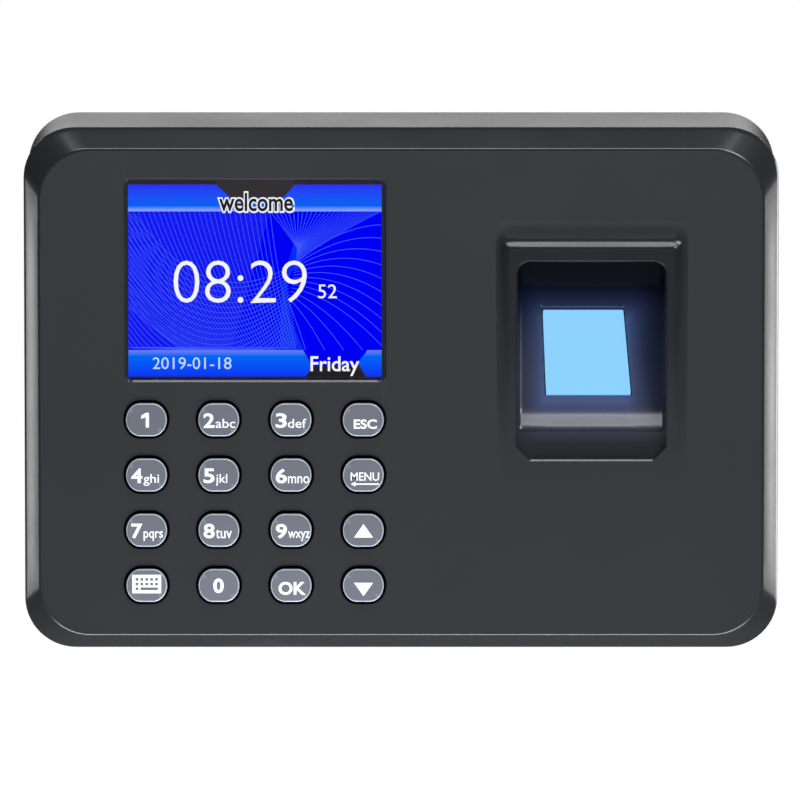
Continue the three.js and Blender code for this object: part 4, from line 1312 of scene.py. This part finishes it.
def falling_fan():
    """Curves from the header down to the right. The first ones start beyond the left edge."""
    curves = []
    count = 44
    for k in range(count):
        t = k / (count - 1)
        start = (-0.30 + 0.86 * t, HEADER_END)
        curves.append(bend(start, (start[0] + 0.15 - 0.12 * t, 0.52), (0.25 + 0.42 * t, 0.9)))
    return curves


def crossing_fan():
    """Curves that sag from the left edge and rise again to the seam."""
    curves = []
    count = 26
    for k in range(count):
        t = k / (count - 1)
        control, end = (0.28 + 0.04 * t, 0.68 + 0.85 * t), (0.62 + 0.05 * t, 0.44 + 0.42 * t)
        curves.append(bend((0, 0.1 + 0.85 * t), control, end))
    return curves


curves = right_fan() + falling_fan() + crossing_fan()
print("display curves:", len(curves))

# %% Lay the display together
LCD_FRONT = lens_off[0] - 0.5
LAYER = 0.03
display = Skin()
display_finishes = []
face_finishes = []


def lay(shape, layer, finish):
    """Adds a flat shape on a layer of the display with a finish of its own."""
    if finish not in display_finishes:
        display_finishes.append(finish)
    before = len(display.faces)
    add_flat(display, shape, LCD_FRONT + layer * LAYER)
    face_finishes.extend([display_finishes.index(finish)] * (len(display.faces) - before))


# painted light on the border round the picture
lay(screen_shape((-0.02, -0.04), (-0.02, 1.02), (1.02, 1.02), (1.02, -0.04)), 0, "screen border painted light")
lay(screen_shape((0, HEADER_END), (0, FOOTER_START), (1, FOOTER_START), (1, HEADER_END)), 1, "screen ground")
lay(screen_shape((0.655, 0.3), (0.61, 0.5), (0.6, 0.7), (0.6, FOOTER_START), (0.693, FOOTER_START),
                 (0.638, 0.7), (0.625, 0.5), (0.69, 0.36)), 2, "screen seam")
lay(screen_shape((0, HEADER_END), (0, FOOTER_START), (0.405, FOOTER_START), (0.56, HEADER_END)),
    2, "screen glare")
for curve in curves:
    lay(ribbon(curve, 0.13), 3, "screen lines")
lay(screen_shape((0, 0), (0, 0.118), (1, 0.118), (1, 0)), 4, "screen header")
lay(screen_shape((0, 0.112), (0, HEADER_END), (1, HEADER_END), (1, 0.112)), 5, "screen header line")
lay(screen_shape((0.348, 0), (0.403, 0.068), (0.611, 0.068), (0.658, 0)), 6, "screen notch")
lay(screen_shape((0.34, -0.04), (0.348, 0), (0.658, 0), (0.666, -0.04)), 6, "screen notch")
lay(screen_text("welcome", 0.352, 0.658, 0.034, 0.148, 0.07), 7, "screen white")
lay(screen_text("welcome", 0.359, 0.651, 0.043, 0.139, 0.02), 8, "screen dark")
lay(screen_text("08:29", 0.179, 0.705, 0.395, 0.616, -0.014), 7, "screen white")
lay(screen_text("52", 0.749, 0.823, 0.519, 0.592, 0.0), 7, "screen white")
lay(screen_shape((0, 0.885), (0, 1), (0.745, 1), (0.70, 0.885)), 4, "screen footer")
lay(screen_shape((0, FOOTER_START), (0, 0.893), (0.703, 0.893), (0.69, FOOTER_START)),
    5, "screen footer line")
lay(screen_shape((0.905, 0.93), (0.94, 1), (1, 1), (1, 0.885), (0.93, 0.885)), 4, "screen footer")
lay(screen_shape((0.943, FOOTER_START), (0.93, 0.893), (1, 0.893), (1, FOOTER_START)),
    5, "screen footer line")
lay(screen_shape((0.69, FOOTER_START), (0.73, 0.945), (0.90, 0.945), (0.943, FOOTER_START)),
    4, "screen ground")
lay(screen_shape((0.73, 0.945), (0.70, 1), (0.93, 1), (0.90, 0.945)), 6, "screen dark")
lay(screen_text("2019-01-18", 0.096, 0.407, 0.899, 0.961, 0.0), 7, "screen pale")
lay(screen_text("Friday", 0.719, 0.912, 0.894, 0.997, 0.012), 7, "screen white")

lcd_x, lcd_off, lcd_z = node_span("lcd_glass")
LCD_CHAMFER, LCD_ROUND = 0.2, 0.6
lcd_width, lcd_height = lcd_x[1] - lcd_x[0], lcd_z[1] - lcd_z[0]
lcd_path = [
    (-LCD_CHAMFER, lcd_off[0]), (0, lcd_off[0] + LCD_CHAMFER),
    (0, lcd_off[1] - LCD_CHAMFER), (-LCD_CHAMFER, lcd_off[1])]
lcd_block = lofted_block(lcd_path, lambda grow: grown_rect(
    WINDOW_X, WINDOW_Z, lcd_width, lcd_height, LCD_ROUND, grow))
add_skin("lcd_glass_block", lcd_block, "lcd_glass", "lcd_glass", stands_for=["lcd_glass"])
display_mesh = bpy.data.meshes.new("display_picture")
display_mesh.from_pydata([(x * MM, -off * MM, z * MM) for x, off, z in display.points], [], display.faces)
add_piece("display_picture", display_mesh, display_finishes, "lcd_glass")
for polygon, finish in zip(display_mesh.polygons, face_finishes):
    polygon.material_index = finish
print("display faces:", len(display.faces), "finishes:", len(display_finishes))

# %% Display lens
CLEAR_IOR = 1.04  # low, because the pane is coated against reflections
LENS_BACK, LENS_EDGE, LENS_ROUND = 0.3, 0.1, 2.7

clear, clear_shader = new_material("clear lens")
wire_grain(clear, clear_shader, 0.02, 2.0, 0.0004, 0.01)
clear_shader.inputs["Transmission Weight"].default_value = 1.0
clear_shader.inputs["IOR"].default_value = CLEAR_IOR
MATERIALS["display_lens"] = clear
lens_path = rounded_path([
    (-LENS_BACK, lens_off[0], 0), (0, lens_off[0], LENS_EDGE),
    (0, lens_off[1], LENS_EDGE), (-LENS_BACK, lens_off[1], 0)])
lens_block = lofted_block(lens_path, lambda grow: grown_rect(
    WINDOW_X, WINDOW_Z, LENS_WIDTH, LENS_HEIGHT, LENS_ROUND, grow))
add_skin("display_lens_pane", lens_block, "display_lens", "display_lens", stands_for=["display_lens"])
print("lens in place")

# %% [markdown]
# ## Rear shell
# The back half is a tray. Its back edge is rounded, and its back face has two keyholes, the speaker's
# slots, four screw wells and a shallow recess for the label. It is lofted the same way as the cover.
# The two sockets in its underside are square cuts through the finished wall.

# %% Sizes of the rear shell
REAR_INSET, REAR_ROUND = 0.8, 2.2
SHELL_WALL = 2.5
POST_TOP, POST_SHELF, POST_RADIUS = 16.0, 4.0, 4.4
CASE_SCREWS = [name for name in frame["nodes"] if name.startswith("case_screw_")]
SCREW_WELL = 3.2
label_x, label_off, label_z = node_span("rating_label")
label_middle = node_centre("rating_label")
label_width, label_height = label_x[1] - label_x[0], label_z[1] - label_z[0]
LABEL_GAP = 0.3
KEYHOLE_X, KEYHOLE_Z, KEYHOLE_ENTRY, KEYHOLE_SLOT, KEYHOLE_RISE = 50, 26, 4.75, 2.5, 10
speaker_x, speaker_z = node_centre("speaker_frame")
GRILLE_SLOTS, GRILLE_PITCH, GRILLE_LENGTH, GRILLE_WIDTH = 5, 3.6, 16, 1.6


def keyhole_outline(x, z, grow):
    """A round entry with a narrower slot above it that ends in a half circle."""
    entry, slot = KEYHOLE_ENTRY + grow, KEYHOLE_SLOT + grow
    meet = math.asin(slot / entry)
    steps = 40
    outline = []
    for k in range(steps + 1):
        angle = math.pi / 2 + meet + (2 * math.pi - 2 * meet) * k / steps
        outline.append((x + entry * math.cos(angle), z + entry * math.sin(angle)))
    for k in range(steps // 2 + 1):
        angle = math.pi * k / (steps // 2)
        outline.append((x + slot * math.cos(angle), z + KEYHOLE_RISE + slot * math.sin(angle)))
    return outline


def slot_outline(index, grow):
    z = speaker_z + (index - (GRILLE_SLOTS - 1) / 2) * GRILLE_PITCH
    return grown_rect(speaker_x, z, GRILLE_LENGTH, GRILLE_WIDTH, GRILLE_WIDTH / 2 - 0.01, grow)


print("screw wells:", len(CASE_SCREWS))

# %% Build the rear shell
def box_mesh(x, off, z, grow=0.0):
    """A plain block between (low, high) pairs, used only as a cutter."""
    corners, _ = box_faces(x[0] - grow, x[1] + grow, z[0] - grow, z[1] + grow)
    return make_mesh("cutter", lofted_block([(0, off[0] - grow), (0, off[1] + grow)], lambda _: corners))


rear = Skin()


def rear_outline(inset):
    corner = CORNER - max(inset - REAR_INSET, 0)
    return rounded_rect(0, 0, WIDTH - 2 * inset, HEIGHT - 2 * inset, max(corner, 4))


back_edge = REAR_INSET + REAR_ROUND + 1
shell_path = rounded_path([
    (REAR_INSET + 0.4, PARTING, 0), (REAR_INSET, PARTING, 0.2),
    (REAR_INSET, 0, REAR_ROUND), (back_edge, 0, 0)], EDGE_STEPS)
shell_rings = [rear.ring(rear_outline(inset), off) for inset, off in shell_path]
rear.chain(shell_rings)
tray_ring = rear.ring(rear_outline(REAR_INSET + SHELL_WALL), PARTING)
floor_ring = rear.ring(rear_outline(REAR_INSET + SHELL_WALL), SHELL_WALL)
rear.chain([shell_rings[0], tray_ring, floor_ring])

HOLE_MARGIN = 0.6


def sunk_path(edge, depth):
    """A hole from the back face to a depth, with a round edge of the given radius."""
    return rounded_path([(HOLE_MARGIN, 0, 0), (0, 0, edge), (0, depth, 0)])


through_path = sunk_path(0.3, SHELL_WALL)
well_path = sunk_path(0.3, POST_TOP - POST_SHELF)
recess_path = sunk_path(0.15, label_off[1])
back_holes, tray_holes = [], []
openings = [lambda grow, x=side * KEYHOLE_X: keyhole_outline(x, KEYHOLE_Z, grow) for side in (-1, 1)]
openings += [lambda grow, index=k: slot_outline(index, grow) for k in range(GRILLE_SLOTS)]
for outline in openings:
    rings = [rear.ring(outline(grow), off) for grow, off in through_path]
    rear.chain(rings)
    back_holes.append(rings[0])
    tray_holes.append(rings[-1])
for node in CASE_SCREWS:
    x, z = node_centre(node)
    rings = [rear.ring(round_outline(x, z, SCREW_WELL + grow), off) for grow, off in well_path]
    rear.chain(rings)
    rear.cap(rings[-1])
    back_holes.append(rings[0])
    post = [rear.ring(round_outline(x, z, POST_RADIUS), off) for off in (SHELL_WALL, POST_TOP)]
    rear.chain(post)
    rear.cap(post[-1])
    tray_holes.append(post[0])
rings = [
    rear.ring(grown_rect(*label_middle, label_width, label_height, 1.0 - LABEL_GAP, LABEL_GAP + grow), off)
    for grow, off in recess_path]
rear.chain(rings)
rear.fill(rings[-1])
back_holes.append(rings[0])
rear.fill(shell_rings[-1], back_holes)
rear.fill(floor_ring, tray_holes)

PORT_GAP, PORT_REACH = 0.3, 2
ports = []
for node in ("usb_shell", "dc_jack"):
    port_x, port_off, port_z = node_span(node)
    ports.append(box_mesh(port_x, port_off, (port_z[0] - PORT_REACH, port_z[0] + SHELL_WALL + 1), PORT_GAP))
rear_mesh = cut_away(make_mesh("rear_shell_skin", rear), ports, "shell_plastic", "shell_plastic")
add_piece("rear_shell_skin", rear_mesh, [], "shell_plastic", stands_for=["rear_shell"], sharp_angle=40)
print("rear shell faces:", len(rear_mesh.polygons))

# %% [markdown]
# ## Screws and label
# Every screw is turned from one profile: a pan head with a cross recess, and a shank with ridges for its
# thread. The label is a plain card with a thin frame and three ruled lines, and no words.

# %% Screws
HEAD_TALL = 2.2 / 2.8  # height of a head over its radius
THREAD_PITCH, THREAD_CORE = 0.8, 0.78
CROSS_HALF = 0.12


def cross_outline(x, z, reach, half):
    """A plus sign with twelve corners."""
    arms = [(reach, half), (half, half), (half, reach), (-half, reach), (-half, half), (-reach, half)]
    arms += [(-px, -pz) for px, pz in arms]
    return [(x + px, z + pz) for px, pz in arms]


def thread_path(shank, start, end):
    """Ridges along a shank, as (radius, off) points, ending in a point."""
    path = []
    along = start
    while along + THREAD_PITCH < end - shank:
        path += [(shank * THREAD_CORE, along + 0.1), (shank, along + THREAD_PITCH * 0.5)]
        path.append((shank * THREAD_CORE, along + THREAD_PITCH * 0.9))
        along += THREAD_PITCH
    return [*path, (shank * 0.2, end)]


def build_screw(node):
    (x0, x1), (low, high), _ = node_span(node)
    x, z = node_centre(node)
    head = (x1 - x0) / 2
    shank = head / 2
    seat = low + min(head * HEAD_TALL, (high - low) / 3)
    path = rounded_path([
        (head * 0.62, low, 0), (head * 0.97, low + 0.25 * (seat - low), 0.6),
        (head, seat, 0.1), (shank, seat, 0)])
    path += thread_path(shank, seat, high)
    turned = Skin()
    rings = [turned.ring(round_outline(x, z, radius, 28), off) for radius, off in path]
    turned.chain(rings)
    turned.cap(rings[-1])
    recess = [
        turned.ring(cross_outline(x, z, head * reach, head * CROSS_HALF), low + sink)
        for reach, sink in ((0.5, 0), (0.35, 0.5 * (seat - low)))]
    turned.fill(rings[0], [recess[0]])
    turned.bridge(*recess)
    turned.cap(recess[1])
    add_skin(node + "_turned", turned, "screw_steel", "screw_steel", stands_for=[node])


screw_nodes = [name for name in frame["nodes"] if "_screw_" in name]
for node in screw_nodes:
    build_screw(node)
print("screws:", len(screw_nodes))

# %% Label
CARD_ROUND, CARD_CHAMFER = 1.2, 0.04
LINE, LINE_LIFT, FRAME_INSET, FRAME_ROUND = 0.3, 0.01, 1.5, 0.8
RULE_PITCH, RULE_INSET = 5, 5

card_path = [(0, label_off[1]), (0, label_off[0] + CARD_CHAMFER), (-CARD_CHAMFER, label_off[0])]
card = lofted_block(card_path, lambda grow: grown_rect(
    *label_middle, label_width, label_height, CARD_ROUND, grow))
add_skin("rating_label_card", card, "label_paper", "label_paper", stands_for=["rating_label"])
ruled = Skin()
ink_off = label_off[0] - LINE_LIFT
ruled.bridge(*(
    ruled.ring(grown_rect(*label_middle, label_width, label_height, radius + inset, -inset), ink_off)
    for inset, radius in ((FRAME_INSET, FRAME_ROUND), (FRAME_INSET + LINE, FRAME_ROUND - LINE))))
for row in (-1, 0, 1):
    z = label_middle[1] + row * RULE_PITCH
    rule = box_faces(label_x[0] + RULE_INSET, label_x[1] - RULE_INSET, z - LINE / 2, z + LINE / 2)
    add_flat(ruled, rule, ink_off)
add_skin("rating_label_lines", ruled, "label_ink", "label_paper")
print("label in place")

# %% [markdown]
# ## Parts that keep their measured shape
# What sits inside the closed case keeps the frame's own mesh and only gets a finish.

# %% Dress the remaining parts
slots = {row["node"]: row["material_slot"] for row in frame["record"]["subparts"]}
stood_for = {"front_cover", "finger_well", "sensor_glass", "lcd_glass", "display_lens"}
stood_for |= {"rear_shell", "rating_label"}
stood_for |= set(KEY_CENTRES) | set(screw_nodes)
dressed = 0
for node, part_object in frame["nodes"].items():
    if node in stood_for:
        continue
    part_object.data.materials.clear()
    part_object.data.materials.append(MATERIALS[slots[node]])
    dressed += 1
print("dressed", dressed, "of", len(slots), "parts")

# %% [markdown]
# ## Last step
# The size of the measured whole, taken before dressing, is printed.

# %% Print the measured size
print("measured", [[round(v / MM, 2) for v in corner] for corner in cad_box])
